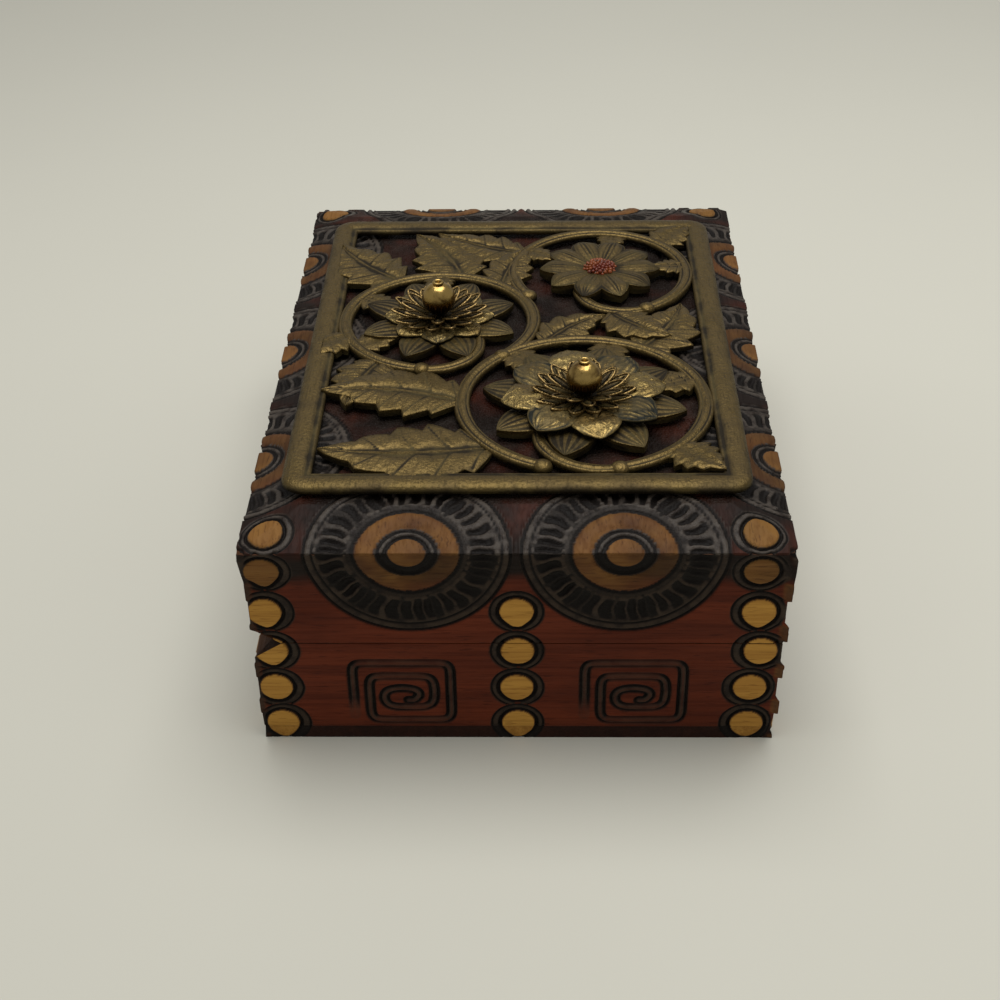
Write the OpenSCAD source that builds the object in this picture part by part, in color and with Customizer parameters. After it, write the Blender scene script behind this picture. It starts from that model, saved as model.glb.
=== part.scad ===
// Keepsake box with a carved wooden body and a pierced brass plaque on its hinged lid.
// X runs across the box from the hinge side (-X) to the opening side (+X), Y along its length, Z up.
// The origin is the middle of the underside. Millimetres.

/* [Box] */
// Width across the ridge, where the lid is widest
box_w = 112; // [100:1:130]
// Length across the ridge
box_d = 156; // [146:1:180]
// Height of the seam between base and lid
seam_z = 26.7; // [24:0.1:32]
// Height of the ridge, where the lid walls meet the top board
ridge_z = 51; // [49:0.1:60]
// How far the walls stand in from the ridge
wall_in = 1.1; // [0.6:0.1:2]
// Thickness of the walls
wall_t = 8.5; // [7.5:0.1:10]
// Height of the flare that brings the lid walls out to the ridge
flare_h = 7.5; // [4:0.1:10]
// Gap between the rims of base and lid
seam_gap = 0.2; // [0.1:0.05:0.5]
// Thickness of the bottom board
bottom_t = 3.4; // [3:0.1:6]
// How far the bottom board's edge leans in below the walls
foot_in = 0.6; // [0.2:0.1:1.2]

/* [Top board] */
// Height of the square edge of the top board
edge_h = 0.5; // [0.3:0.1:1.5]
// Rise of the bevel round the top board
bevel_rise = 3.5; // [2.5:0.1:5]
// Width of that bevel
bevel_in = 12; // [10:0.5:14]
// Depth of the tongue under the top board
tongue_h = 2.5; // [1.5:0.1:4]
// Clearance between the tongue and the lid walls
tongue_gap = 0.15; // [0.1:0.05:0.3]

/* [Carving] */
// Radius of the light disc of a button
button_r = 3.3; // [2.6:0.1:3.6]
// Distance between the buttons of a column
button_pitch = 10.1; // [9.4:0.1:11]
// How far the button on the seam sits below it
button_drop = 2.2; // [1.5:0.1:3]
// Distance of a corner column from the ridge's corner
column_in = 5.2; // [4.6:0.1:6]
// Depth of the carved grooves
carve_h = 0.6; // [0.4:0.1:0.9]
// Radius of a rosette over its rim
rosette_r = 21.2; // [17:0.2:22]
// Distance between the two rosettes of a short side
rosette_pitch_end = 43.6; // [42:0.2:48]
// Distance between the three rosettes of a long side
rosette_pitch_side = 45.6; // [43:0.2:48]

/* [Hinge] */
// How far the groove along the hinge side reaches in
groove_in = 6; // [5:0.1:6.5]
// Height of the groove above and below the seam
groove_h = 3.8; // [3.4:0.1:4.2]
// Distance of the pin from the bottom of the groove
pin_out = 3.2; // [3.1:0.05:3.4]
// Outside diameter of the knuckles
knuckle_d = 3; // [2.6:0.1:3]
// Diameter of the hinge pin
pin_d = 1.2; // [1:0.1:1.4]
// Clearance between the pin and the lid's knuckle, all round
pin_gap = 0.05; // [0.03:0.01:0.08]
// Length of each hinge
hinge_len = 20; // [18:1:26]
// Distance of each hinge from the middle
hinge_y = 42; // [34:1:50]
// Clearance between neighbouring knuckles
knuckle_gap = 0.2; // [0.15:0.05:0.4]
// Thickness of the leaves
leaf_t = 0.8; // [0.6:0.1:1]
// Width of the leaves
leaf_w = 4.4; // [4:0.1:4.6]
// Diameter of the screw heads
head_d = 2.6; // [2.2:0.1:2.8]
// Diameter of the screws
screw_d = 1.3; // [1.1:0.1:1.5]
// Length of the screws
screw_len = 6; // [5:0.5:7]

/* [Plaque] */
// Width of the plaque
plaque_w = 97; // [92:1:100]
// Length of the plaque
plaque_d = 123; // [118:1:128]
// How far the plaque sits from the middle, towards the near end
plaque_shift = 2.3; // [0:0.1:4]
// Gap between the plaque and the top board
plaque_gap = 0.9; // [0.8:0.1:1.4]
// Width of the rim
rim_w = 6; // [5:0.5:8]
// Height of the rim
rim_h = 1.7; // [1.5:0.1:2.4]
// Radius of the rim's outer corners
rim_r = 5; // [3:0.5:8]
// Thickness of the leaves and cast petals
sheet_t = 1.2; // [1:0.1:1.4]
// Width of the scroll stems
stem_w = 3.4; // [2.6:0.1:4]
// Radius of the near scroll, round the large flower
scroll_near_r = 26.8; // [25:0.2:28]
// Radius of the middle scroll, round the small flower
scroll_mid_r = 22.4; // [21:0.2:24]
// Radius of the far scroll, round the enamelled flower
scroll_far_r = 21.4; // [20:0.2:23]
// Diameter of the fixing pins
nail_d = 1.5; // [1.2:0.1:1.8]
// Length of the fixing pins
nail_len = 5.2; // [4.6:0.1:5.4]

/* [Flowers] */
// Radius of the large flower
large_r = 18.5; // [16:0.5:20]
// Radius of the small flower
small_r = 13; // [11:0.5:15]
// Radius of the enamelled flower
enamel_r = 15; // [12:0.5:16]
// Radius of the lower daisies
daisy_low_r = 11.5; // [9.5:0.5:12]
// Radius of the upper daisies
daisy_top_r = 9; // [7:0.5:9.5]
// Thickness of the pressed petals
petal_t = 0.6; // [0.5:0.1:0.8]
// Width of the wire round a looped petal
wire_w = 0.5; // [0.4:0.05:0.6]
// Diameter of the beads
bead_d = 8; // [7:0.5:9]
// Diameter of the rivets
rivet_d = 1.6; // [1.4:0.1:2]

/* [Hidden] */
$fn = 64;
wood = "sienna";
dark_wood = "saddlebrown";
brass = "darkkhaki";
patina = "darkolivegreen";
gold = "gold";
over = 2; // how far a cutter runs past the surface that it cuts

// Hidden fixings of the plaque: how far a pin enters it, the wall of the foot round a pin, and the seat of
// a flower
nail_in = 1;
foot_wall = 1.25;
hub_r = 5;
seat = 0.2; // how far joined forms run into each other

// Heights of the lid
board_z = ridge_z - edge_h;
top_z = ridge_z + bevel_rise;
plaque_z = top_z + plaque_gap;
sheet_z = plaque_z + sheet_t;

// Hinge geometry, seen along Y: the bevel's angle, and the pin's distance from it
bevel_angle = atan(groove_h / groove_in);
apex_x = -box_w / 2 + wall_in + groove_in;
pin_x = apex_x - pin_out;
pin_to_bevel = pin_out * sin(bevel_angle);
leaf_start = -0.8;
screw_x = leaf_start + leaf_w * 0.6;
screw_y = hinge_len * 0.32;
head_h = 0.6;
slot_w = 0.4;
slot_h = 0.3;
slack = 0.05; // clearance of a screw in its hole and of a leaf in its recess

// Carving: a button's groove, and a rosette's groove and fluted band as shares of its radius
button_groove = 1.3;
ring_share = 0.24;
ring_width_share = 0.12;
band_in_share = 0.53;
band_out_share = 0.92;

// Carving rows and columns
function half(side) = (side % 2 == 0 ? box_d : box_w) / 2;
function span(side) = (side % 2 == 0 ? box_w : box_d) / 2;
function corner_columns(side) = [-span(side) + column_in, span(side) - column_in];
function middle_columns(side) = side % 2 == 0 ? [0] : [-rosette_pitch_side / 2, rosette_pitch_side / 2];
function rosettes(side) =
  side % 2 == 0 ? [-rosette_pitch_end / 2, rosette_pitch_end / 2]
                : [-rosette_pitch_side, 0, rosette_pitch_side];
function row_z(row) = seam_z - button_drop + button_pitch * row;
flare_button_drop = 4.9; // of the button on the flare, below the ridge
flare_row_z = ridge_z - flare_button_drop;
flare_angle = atan(wall_in / flare_h);
slope_angle = atan(bevel_rise / bevel_in);

// The scroll circles lie against the rim and against each other
rim_in_w = plaque_w - 2 * rim_w;
rim_in_d = plaque_d - 2 * rim_w;
touch = stem_w * 0.35; // a scroll's centre line lies this far inside the rim's inner edge
knob_r = stem_w * 0.62; // of the knobs at both ends of a scroll's ring
near_c = [rim_in_w / 2 - scroll_near_r - touch, -rim_in_d / 2 + scroll_near_r + touch];
far_c = [rim_in_w / 2 - scroll_far_r - touch, rim_in_d / 2 - scroll_far_r - touch];
mid_x = -rim_in_w / 2 + scroll_mid_r + touch;
mid_reach = scroll_near_r + scroll_mid_r;
mid_c = [mid_x, near_c[1] + sqrt(mid_reach * mid_reach - pow(near_c[0] - mid_x, 2))];
near_mid_angle = atan2(mid_c[1] - near_c[1], mid_c[0] - near_c[0]);
mid_far_angle = atan2(far_c[1] - mid_c[1], far_c[0] - mid_c[0]);

// Where the ring of each scroll starts and ends, as angles round its flower
near_arc = [-75, 250];
mid_arc = [near_mid_angle - 180, 262];
far_arc = [-60, mid_far_angle + 182];

// Leaves of the scrolls: the angle round the scroll, the way that the leaf points, its length and width as
// shares of the scroll's radius, and a third of the angle that its midrib bends by
near_leaves = [
  [222, 196, 1.42, 0.86, -9], [180, 158, 1.23, 0.75, 10], [60, 40, 0.9, 0.67, 14], [316, 316, 0.52, 0.45, 0],
  [108, 62, 0.75, 0.49, -14]
];
mid_leaves = [
  [236, 240, 0.98, 0.67, 8], [118, 150, 1.21, 0.85, -12], [78, 104, 1.21, 0.89, 10],
  [200, 222, 0.63, 0.49, 0], [50, 84, 0.98, 0.58, -8]
];
far_leaves = [[150, 172, 1.21, 0.7, -10], [276, 300, 0.89, 0.65, 12], [46, 46, 0.65, 0.56, 0]];
// Leaves inside the scrolls, in the same form
near_inner = [[22, 218, 0.52, 0.37, -10], [76, 272, 0.52, 0.37, -10], [130, 326, 0.52, 0.37, -10]];
mid_inner = [[150, 318, 0.58, 0.4, 10], [212, 20, 0.58, 0.4, 10], [92, 260, 0.49, 0.36, 10]];
far_inner = [[8, 200, 0.47, 0.37, -10], [80, 274, 0.47, 0.37, -10], [150, 340, 0.47, 0.37, -10]];
leaf_teeth = 5; // along each edge of a leaf
tooth_tip = 0.8; // where a tooth is widest, as a share of its length

// Cast petals under the pressed flowers: their reach and width as shares of the scroll's radius
calyx_reach = 0.85;
calyx_width = 0.4;
broad_count = 8; // broad petals of a pressed flower, and as many cast ones between them
large_turn = 10; // of the large flower's petals

// ---------------------------------------------------------------- helpers

// Turns a shape drawn for the near end to the given side: 0 near, 1 front, 2 far, 3 hinge side
module to_side(side) {
  rotate([0, 0, 90 * side]) children();
}

// A solid that runs along X with the profile given as [distance in from the ridge, height], on one side
module wall_bar(side, profile) {
  to_side(side)
    intersection() {
      translate([0, -half(side), 0])
        rotate([90, 0, 90])
          linear_extrude(height = 2 * span(side), center = true)
            polygon(profile);
      linear_extrude(height = top_z)
        polygon([
          [-span(side), -half(side)],
          [span(side), -half(side)],
          [span(side) - half(side), 0],
          [half(side) - span(side), 0]
        ]);
    }
}

// V-shaped ring cutter of one radius, its mouth at z = 0 and open upwards
module ring_cutter(radius, width) {
  rotate_extrude()
    polygon([
      [radius - width / 2, 0],
      [radius, -carve_h],
      [radius + width / 2, 0],
      [radius + width / 2, over],
      [radius - width / 2, over]
    ]);
}

// Flat-bottomed ring cutter between two radii
module band_cutter(inner, outer) {
  translate([0, 0, -carve_h])
    difference() {
      cylinder(r = outer, h = carve_h + over);
      translate([0, 0, -over])
        cylinder(r = inner, h = carve_h + 3 * over);
    }
}

// Carved button: a light disc inside a dark groove
module button_cutter() {
  ring_cutter(button_r + button_groove / 2, button_groove);
}

// Carved rosette: boss, ring groove, light ring, sunken band of flutes and rim
module rosette_cutter() {
  ring_cutter(rosette_r * ring_share, rosette_r * ring_width_share);
  band_cutter(rosette_r * band_in_share, rosette_r * band_out_share);
}

// Places a cutter on the upright part of a side, u along it and z up
module on_wall(side, u, z) {
  to_side(side)
    translate([u, -half(side) + wall_in, z])
      rotate([90, 0, 0]) children();
}

// Places a cutter on the flare below the ridge, at a height measured on the flare
module on_flare(side, u, z) {
  to_side(side)
    translate([u, -half(side), board_z])
      rotate([90 + flare_angle, 0, 0])
        translate([0, z - board_z, 0]) children();
}

// Places a cutter on the bevel of the top board, a distance up the slope
module on_bevel(side, u, up) {
  to_side(side)
    translate([u, -half(side), ridge_z])
      rotate([slope_angle, 0, 0])
        translate([0, up, 0]) children();
}

// Buttons of one side on the given rows
module row_cuts(side, rows) {
  for (row = rows)
    for (u = concat(corner_columns(side), middle_columns(side)))
      on_wall(side, u, row_z(row)) button_cutter();
}

// The V groove along the seam on the hinge side, cut from the walls it crosses
module seam_groove() {
  translate([apex_x, 0, seam_z])
    rotate([90, 0, 0])
      linear_extrude(height = box_d + 2 * over, center = true)
        polygon([[0, 0], [-2 * groove_in, 2 * groove_h], [-2 * groove_in, -2 * groove_h]]);
}

// ---------------------------------------------------------------- hinge

// Frame of a base hinge leaf: z points from the pin into the wood, x outwards along the bevel
module leaf_frame(y) {
  translate([pin_x, y, seam_z])
    rotate([0, 180 - bevel_angle, 0]) children();
}

// Mirrors what is drawn for the base about the seam, for the lid
module for_lid() {
  translate([0, 0, 2 * seam_z])
    mirror([0, 0, 1]) children();
}

// A leaf with its knuckles: the base has the two outer ones, the lid the middle one
module hinge_leaf(y, outer, bore) {
  knuckle_len = (hinge_len - 2 * knuckle_gap) / 3;
  places = outer ? [-(knuckle_len + knuckle_gap), knuckle_len + knuckle_gap] : [0];
  leaf_frame(y)
    difference() {
      union() {
        translate([leaf_start, -hinge_len / 2, pin_to_bevel])
          cube([leaf_w, hinge_len, leaf_t]);
        for (place = places) {
          translate([leaf_start, place - knuckle_len / 2, 0])
            cube([-2 * leaf_start, knuckle_len, pin_to_bevel + leaf_t / 2]);
          translate([0, place + knuckle_len / 2, 0])
            rotate([90, 0, 0])
              cylinder(d = knuckle_d, h = knuckle_len);
        }
      }
      rotate([90, 0, 0])
        cylinder(d = bore, h = hinge_len + over, center = true);
      for (side = [-1, 1])
        translate([screw_x, side * screw_y, pin_to_bevel])
          screw_shape(slack, screw_len);
    }
}

// A countersunk screw with its head at z = 0, or the hole for it when grown by a clearance
module screw_shape(grow, length) {
  translate([0, 0, -grow])
    cylinder(d1 = head_d + 2 * grow, d2 = screw_d + 2 * grow, h = head_h + grow);
  cylinder(d = screw_d + 2 * grow, h = length + grow);
}

// Recess of a leaf and the pilot holes of its screws, cut from the walls on the hinge side
module leaf_recess(y) {
  leaf_frame(y) {
    translate([leaf_start - slack, -hinge_len / 2 - slack, 0])
      cube([leaf_w + 2 * slack, hinge_len + 2 * slack, pin_to_bevel + leaf_t]);
    for (side = [-1, 1])
      translate([screw_x, side * screw_y, pin_to_bevel])
        cylinder(d = screw_d, h = screw_len);
  }
}

// The screws of one leaf, each with a slot across its head
module leaf_screws(y) {
  leaf_frame(y)
    for (side = [-1, 1])
      translate([screw_x, side * screw_y, pin_to_bevel])
        difference() {
          screw_shape(0, screw_len);
          cube([head_d + over, slot_w, 2 * slot_h], center = true);
        }
}

module hinge_pin(y) {
  color(brass)
    translate([pin_x, y + hinge_len / 2, seam_z])
      rotate([90, 0, 0])
        cylinder(d = pin_d, h = hinge_len);
}

// ---------------------------------------------------------------- base

module base_wall(side) {
  color(wood)
    difference() {
      wall_bar(side, [
        [wall_in, bottom_t],
        [wall_in, seam_z - seam_gap / 2],
        [wall_in + wall_t, seam_z - seam_gap / 2],
        [wall_in + wall_t, bottom_t]
      ]);
      if (side != 1) seam_groove();
      row_cuts(side, [0, -1, -2]);
      if (side == 3)
        for (y = [-hinge_y, hinge_y])
          leaf_recess(y);
    }
}

module base_bottom_board() {
  foot = wall_in + foot_in;
  color(dark_wood)
    difference() {
      intersection() {
        rotate([90, 0, 0])
          linear_extrude(height = box_d, center = true)
            polygon([
              [-box_w / 2 + foot, 0],
              [box_w / 2 - foot, 0],
              [box_w / 2 - wall_in, bottom_t],
              [-box_w / 2 + wall_in, bottom_t]
            ]);
        rotate([90, 0, 90])
          linear_extrude(height = box_w, center = true)
            polygon([
              [-box_d / 2 + foot, 0],
              [box_d / 2 - foot, 0],
              [box_d / 2 - wall_in, bottom_t],
              [-box_d / 2 + wall_in, bottom_t]
            ]);
      }
      for (side = [0:3])
        row_cuts(side, [-2]);
    }
}

module base_hinge_screws() {
  color(gold)
    for (y = [-hinge_y, hinge_y])
      leaf_screws(y);
}

// ---------------------------------------------------------------- lid

module lid_wall(side) {
  color(wood)
    difference() {
      wall_bar(side, [
        [wall_in, seam_z + seam_gap / 2],
        [wall_in, board_z - flare_h],
        [0, board_z],
        [wall_in + wall_t, board_z],
        [wall_in + wall_t, seam_z + seam_gap / 2]
      ]);
      if (side != 1) seam_groove();
      row_cuts(side, [0, 1]);
      for (u = corner_columns(side))
        on_flare(side, u, flare_row_z) button_cutter();
      for (u = rosettes(side))
        on_wall(side, u, ridge_z) rosette_cutter();
      if (side == 3)
        for_lid()
          for (y = [-hinge_y, hinge_y])
            leaf_recess(y);
    }
}

// Cross-section of the top board, over a half-width
function board_profile(half_width) = [
  [-half_width, board_z],
  [half_width, board_z],
  [half_width, ridge_z],
  [half_width - bevel_in, top_z],
  [-half_width + bevel_in, top_z],
  [-half_width, ridge_z]
];

module lid_top_board() {
  inside = wall_in + wall_t + tongue_gap;
  color(wood)
    difference() {
      union() {
        intersection() {
          rotate([90, 0, 0])
            linear_extrude(height = box_d, center = true)
              polygon(board_profile(box_w / 2));
          rotate([90, 0, 90])
            linear_extrude(height = box_w, center = true)
              polygon(board_profile(box_d / 2));
        }
        translate([-box_w / 2 + inside, -box_d / 2 + inside, board_z - tongue_h])
          cube([box_w - 2 * inside, box_d - 2 * inside, tongue_h + edge_h]);
      }
      for (side = [0:3]) {
        for (u = rosettes(side))
          on_bevel(side, u, 0) rosette_cutter();
        for (u = corner_columns(side))
          on_bevel(side, u, column_in) button_cutter();
      }
      nails();
    }
}

module lid_hinge_screws() {
  color(gold)
    for_lid()
      for (y = [-hinge_y, hinge_y])
        leaf_screws(y);
}

// ---------------------------------------------------------------- plaque

// Places what is drawn about a point of the plaque's own plan
module on_plaque(point) {
  translate([point[0], point[1] - plaque_shift, 0]) children();
}

// The four fixing pins, under the near and far runs of the rim
module for_nails() {
  for (x = [-plaque_w * 0.37, plaque_w * 0.37])
    for (y = [-plaque_d / 2 + rim_w / 2, plaque_d / 2 - rim_w / 2])
      on_plaque([x, y]) children();
}

// Outline of the plaque: a rectangle with round corners
module rim_outline() {
  inset_w = plaque_w - 2 * rim_r;
  inset_d = plaque_d - 2 * rim_r;
  square([plaque_w, inset_d], center = true);
  square([inset_w, plaque_d], center = true);
  for (x = [-inset_w / 2, inset_w / 2])
    for (y = [-inset_d / 2, inset_d / 2])
      translate([x, y]) circle(r = rim_r);
}

// Cross-section of a slab whose upper edges slope down, over a half-width
function rim_profile(half_width) = [
  [-half_width, 0],
  [half_width, 0],
  [half_width, rim_h * 0.6],
  [half_width - rim_w * 0.2, rim_h],
  [-half_width + rim_w * 0.2, rim_h],
  [-half_width, rim_h * 0.6]
];

module rim() {
  difference() {
    intersection() {
      linear_extrude(height = rim_h) rim_outline();
      rotate([90, 0, 0])
        linear_extrude(height = plaque_d, center = true) polygon(rim_profile(plaque_w / 2));
      rotate([90, 0, 90])
        linear_extrude(height = plaque_w, center = true) polygon(rim_profile(plaque_d / 2));
    }
    translate([-rim_in_w / 2, -rim_in_d / 2, -over])
      cube([rim_in_w, rim_in_d, rim_h + 2 * over]);
  }
}

// Part of a stem that runs round a circle, from one angle to another, in plan
module stem_arc(radius, from, to) {
  steps = ceil(abs(to - from) / 30);
  far_r = radius * 1.5;
  intersection() {
    difference() {
      circle(r = radius + stem_w / 2);
      circle(r = radius - stem_w / 2);
    }
    polygon(concat([[0, 0]], [
      for (i = [0:steps])
        let (angle = from + (to - from) * i / steps)
          far_r * [cos(angle), sin(angle)]
    ]));
  }
}

// A scroll: the ring of stem with a knob at each end, and the half circle that curls in to the flower
module scroll(radius, arc, turn) {
  stem_arc(radius, arc[0], arc[1]);
  for (end = arc)
    translate(radius * [cos(end), sin(end)])
      circle(r = knob_r);
  curl_at = turn > 0 ? arc[1] : arc[0];
  translate(radius / 2 * [cos(curl_at), sin(curl_at)])
    rotate(curl_at)
      stem_arc(radius / 2, turn > 0 ? -10 : -180, turn > 0 ? 180 : 10);
}

// How far out the edge of a leaf is at t along it, from 0 between two teeth to 1 at the tip of a tooth
function tooth(t) =
  let (f = t * leaf_teeth - floor(t * leaf_teeth + 0.001))
    f < tooth_tip ? f / tooth_tip : (1 - f) / (1 - tooth_tip);

// Half-width of a leaf, as a share of its width, at t along it
function leaf_half(t) = 0.5 * sin(180 * pow(t, 0.72)) * (0.74 + 0.26 * tooth(t));

// A point of a leaf that lies s along its midrib and y beside it, where the midrib bends evenly by an angle
function leaf_point(s, y, length, bend) =
  abs(bend) < 1 ? [s, y]
                : let (r = length / (bend * PI / 180), a = bend * s / length)
                    [(r - y) * sin(a), r - (r - y) * cos(a)];

// One edge of a leaf, on the given side of its midrib, through the given steps
function leaf_edge(side, order, length, width, bend) = [
  for (t = order)
    leaf_point(length * t, side * width * leaf_half(t), length, bend * 3)
];

module leaf(length, width, bend) {
  steps = 5 * leaf_teeth;
  polygon(concat(
    leaf_edge(1, [for (i = [0:steps]) i / steps], length, width, bend),
    leaf_edge(-1, [for (i = [steps - 1:-1:1]) i / steps], length, width, bend)
  ));
}

// Leaves that grow from a scroll, each given as in the lists above
module leaves(radius, list) {
  for (l = list)
    translate(radius * [cos(l[0]), sin(l[0])])
      rotate(l[1])
        translate([-stem_w * 0.24, 0])
          leaf(l[2] * radius, l[3] * radius, l[4]);
}

// The pierced sheet of leaves, in plan
module leaf_plan() {
  intersection() {
    union() {
      translate(near_c) leaves(scroll_near_r, concat(near_leaves, near_inner));
      translate(mid_c) leaves(scroll_mid_r, concat(mid_leaves, mid_inner));
      translate(far_c) leaves(scroll_far_r, concat(far_leaves, far_inner));
    }
    square([plaque_w - rim_w, plaque_d - rim_w], center = true);
  }
}

// The cast petals that show between those of a pressed flower, in plan
module calyx(radius) {
  rotate(180 / broad_count) petal_plan(radius * calyx_reach, broad_count, radius * calyx_width);
}

// The stems, the cast petals and the seats of the pressed flowers, in plan
module stem_plan() {
  translate(near_c) {
    scroll(scroll_near_r, near_arc, -1);
    rotate(large_turn) calyx(scroll_near_r);
    circle(r = hub_r);
  }
  translate(mid_c) {
    scroll(scroll_mid_r, mid_arc, 1);
    calyx(scroll_mid_r);
    circle(r = hub_r);
  }
  translate(far_c) {
    scroll(scroll_far_r, far_arc, -1);
    circle(r = hub_r);
  }
}

module brass_plaque() {
  color(brass)
    on_plaque([0, 0])
      translate([0, 0, plaque_z])
        difference() {
          union() {
            rim();
            linear_extrude(height = sheet_t) leaf_plan();
            linear_extrude(height = sheet_t) stem_plan();
            translate([far_c[0], far_c[1], 0])
              linear_extrude(height = sheet_t) petal_plan(enamel_r, 10, enamel_r * 0.5);
            translate([0, plaque_shift, -plaque_gap])
              for_nails()
                cylinder(d = nail_d + 2 * foot_wall, h = plaque_gap + seat);
          }
          translate([0, plaque_shift, -plaque_gap - over])
            for_nails()
              cylinder(d = nail_d, h = plaque_gap + over + nail_in);
          for (flower = [near_c, mid_c, far_c])
            translate([flower[0], flower[1], -over])
              cylinder(d = rivet_d, h = sheet_t + 2 * over);
        }
}

// The pins as solids, which also cut their holes in the top board
module nails() {
  for_nails()
    translate([0, 0, plaque_z + nail_in - nail_len])
      cylinder(d = nail_d, h = nail_len);
}

module plaque_pins() {
  color(gold) nails();
}

// ---------------------------------------------------------------- flowers

// A pointed petal along X in plan, from two arcs
module petal(length, width) {
  r = (length * length + width * width) / (4 * width);
  intersection() {
    translate([0, r - width / 2]) circle(r = r, $fn = 160);
    translate([0, width / 2 - r]) circle(r = r, $fn = 160);
  }
}

// A ring of petals out to a radius, in plan
module petal_plan(radius, count, width) {
  length = radius * 0.86;
  circle(r = radius * 0.34);
  for (i = [0:count - 1])
    rotate(i * 360 / count)
      translate([radius - length / 2, 0]) petal(length, width);
}

// The openings inside the wires of looped petals, in plan
module loop_plan(radius, count, width) {
  length = radius * 0.44;
  for (i = [0:count - 1])
    rotate(i * 360 / count)
      translate([radius * 0.65, 0]) petal(length, width - 2 * wire_w);
}

// A dished sheet whose height follows the points of a curve given as [share of radius, height]
module dish(radius, curve) {
  rotate_extrude()
    polygon(concat(
      [for (p = curve) [p[0] * radius, p[1]]],
      [for (i = [len(curve) - 1:-1:0]) [curve[i][0] * radius, curve[i][1] + petal_t]]
    ));
}

// One pressed layer of a flower, its hub resting at a height, each petal open inside its wire if looped
module pressed_layer(centre, height, radius, count, width, looped, curve, turn) {
  on_plaque(centre)
    translate([0, 0, height])
      rotate(turn)
        difference() {
          intersection() {
            rotate(144 / count) dish(radius + 0.1, curve);
            linear_extrude(height = 12, center = true) petal_plan(radius, count, width);
          }
          if (looped)
            linear_extrude(height = 12, center = true) loop_plan(radius, count, width);
          cylinder(d = rivet_d, h = 20, center = true);
        }
}

// Curves of the pressed layers
broad_curve = [[0, 0], [0.22, 0], [0.5, 1.6], [0.75, 2.1], [1, 1.2]];
low_curve = [[0, 0], [0.3, 0], [0.6, 0.6], [0.85, 0.9], [1, 0.5]];
cup_curve = [[0, 0], [0.3, 0], [0.7, 1.4], [1, 2.6]];
star_curve = [[0, 0], [0.3, 0], [0.65, 1.8], [1, 3]];

// Heights of the layers of a flower, from the plaque up
low_z = sheet_z + petal_t;
upper_z = low_z + petal_t;
bead_z = upper_z + petal_t + bead_d / 2;
rivet_head_h = plaque_gap * 0.7;
peen = 0.6; // height and spread of a rivet's peened tip

module flower_petals(centre, radius, curve, turn) {
  color(patina)
    pressed_layer(centre, sheet_z, radius, broad_count, radius * 0.56, false, curve, turn);
}

module lower_daisy(centre, turn) {
  color(brass)
    pressed_layer(centre, low_z, daisy_low_r, 14, daisy_low_r * 0.23, true, cup_curve, turn);
}

module upper_daisy(centre, turn) {
  color(brass)
    pressed_layer(centre, upper_z, daisy_top_r, 12, daisy_top_r * 0.26, true, star_curve, turn);
}

module bead(centre) {
  color(gold)
    on_plaque(centre)
      translate([0, 0, bead_z])
        difference() {
          sphere(d = bead_d);
          cylinder(d = rivet_d, h = bead_d + over, center = true);
        }
}

// A rivet from its head under the plaque to the peened tip over the bead
module rivet(centre) {
  tip = bead_z + bead_d / 2;
  color(gold)
    on_plaque(centre) {
      translate([0, 0, plaque_z - rivet_head_h])
        cylinder(d = 2 * rivet_d, h = rivet_head_h);
      translate([0, 0, plaque_z - seat])
        cylinder(d = rivet_d, h = tip - plaque_z + seat);
      translate([0, 0, tip])
        cylinder(d1 = rivet_d + peen, d2 = rivet_d - peen, h = peen);
    }
}

// Domed mound of enamelled seeds, with a peg into the plaque
module enamel_seed_centre() {
  dome_r = enamel_r * 0.3;
  ball_r = dome_r * 1.17;
  color("orangered")
    on_plaque(far_c)
      translate([0, 0, sheet_z]) {
        difference() {
          translate([0, 0, -sqrt(ball_r * ball_r - dome_r * dome_r)])
            sphere(r = ball_r);
          translate([0, 0, -2 * dome_r])
            cube(4 * dome_r, center = true);
        }
        translate([0, 0, -sheet_t])
          cylinder(d = rivet_d, h = sheet_t + seat);
      }
}

base_bottom_board();
base_wall(0);  // base_near_end
base_wall(2);  // base_far_end
base_wall(1);  // base_front_wall
base_wall(3);  // base_hinge_wall
color(brass) hinge_leaf(-hinge_y, true, pin_d);  // hinge_leaf_base_near
color(brass) hinge_leaf(hinge_y, true, pin_d);  // hinge_leaf_base_far
hinge_pin(-hinge_y);  // hinge_pin_near
hinge_pin(hinge_y);  // hinge_pin_far
base_hinge_screws();
lid_wall(0);  // lid_near_end
lid_wall(2);  // lid_far_end
lid_wall(1);  // lid_front_wall
lid_wall(3);  // lid_hinge_wall
lid_top_board();
color(brass) for_lid() hinge_leaf(-hinge_y, false, pin_d + 2 * pin_gap);  // hinge_leaf_lid_near
color(brass) for_lid() hinge_leaf(hinge_y, false, pin_d + 2 * pin_gap);  // hinge_leaf_lid_far
lid_hinge_screws();
brass_plaque();
plaque_pins();
flower_petals(near_c, large_r, broad_curve, large_turn);  // large_flower_petals
lower_daisy(near_c, 0);  // large_flower_lower_daisy
upper_daisy(near_c, 8);  // large_flower_upper_daisy
bead(near_c);  // large_flower_bead
rivet(near_c);  // large_flower_rivet
flower_petals(mid_c, small_r, low_curve, 0);  // small_flower_petals
lower_daisy(mid_c, 5);  // small_flower_lower_daisy
upper_daisy(mid_c, 0);  // small_flower_upper_daisy
bead(mid_c);  // small_flower_bead
rivet(mid_c);  // small_flower_rivet
enamel_seed_centre();
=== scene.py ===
"""A keepsake box of carved and stained wood, with a pierced brass plaque on its hinged lid.

Sizes are in millimetres and become metres where a mesh is made. X runs across the box from the hinge side
to the opening side, Y along its length and Z up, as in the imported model.
"""

import logging
import math
from dataclasses import dataclass
from enum import Enum
from typing import Sequence

import bpy
import numpy as np
from mathutils import Matrix, Vector


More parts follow.
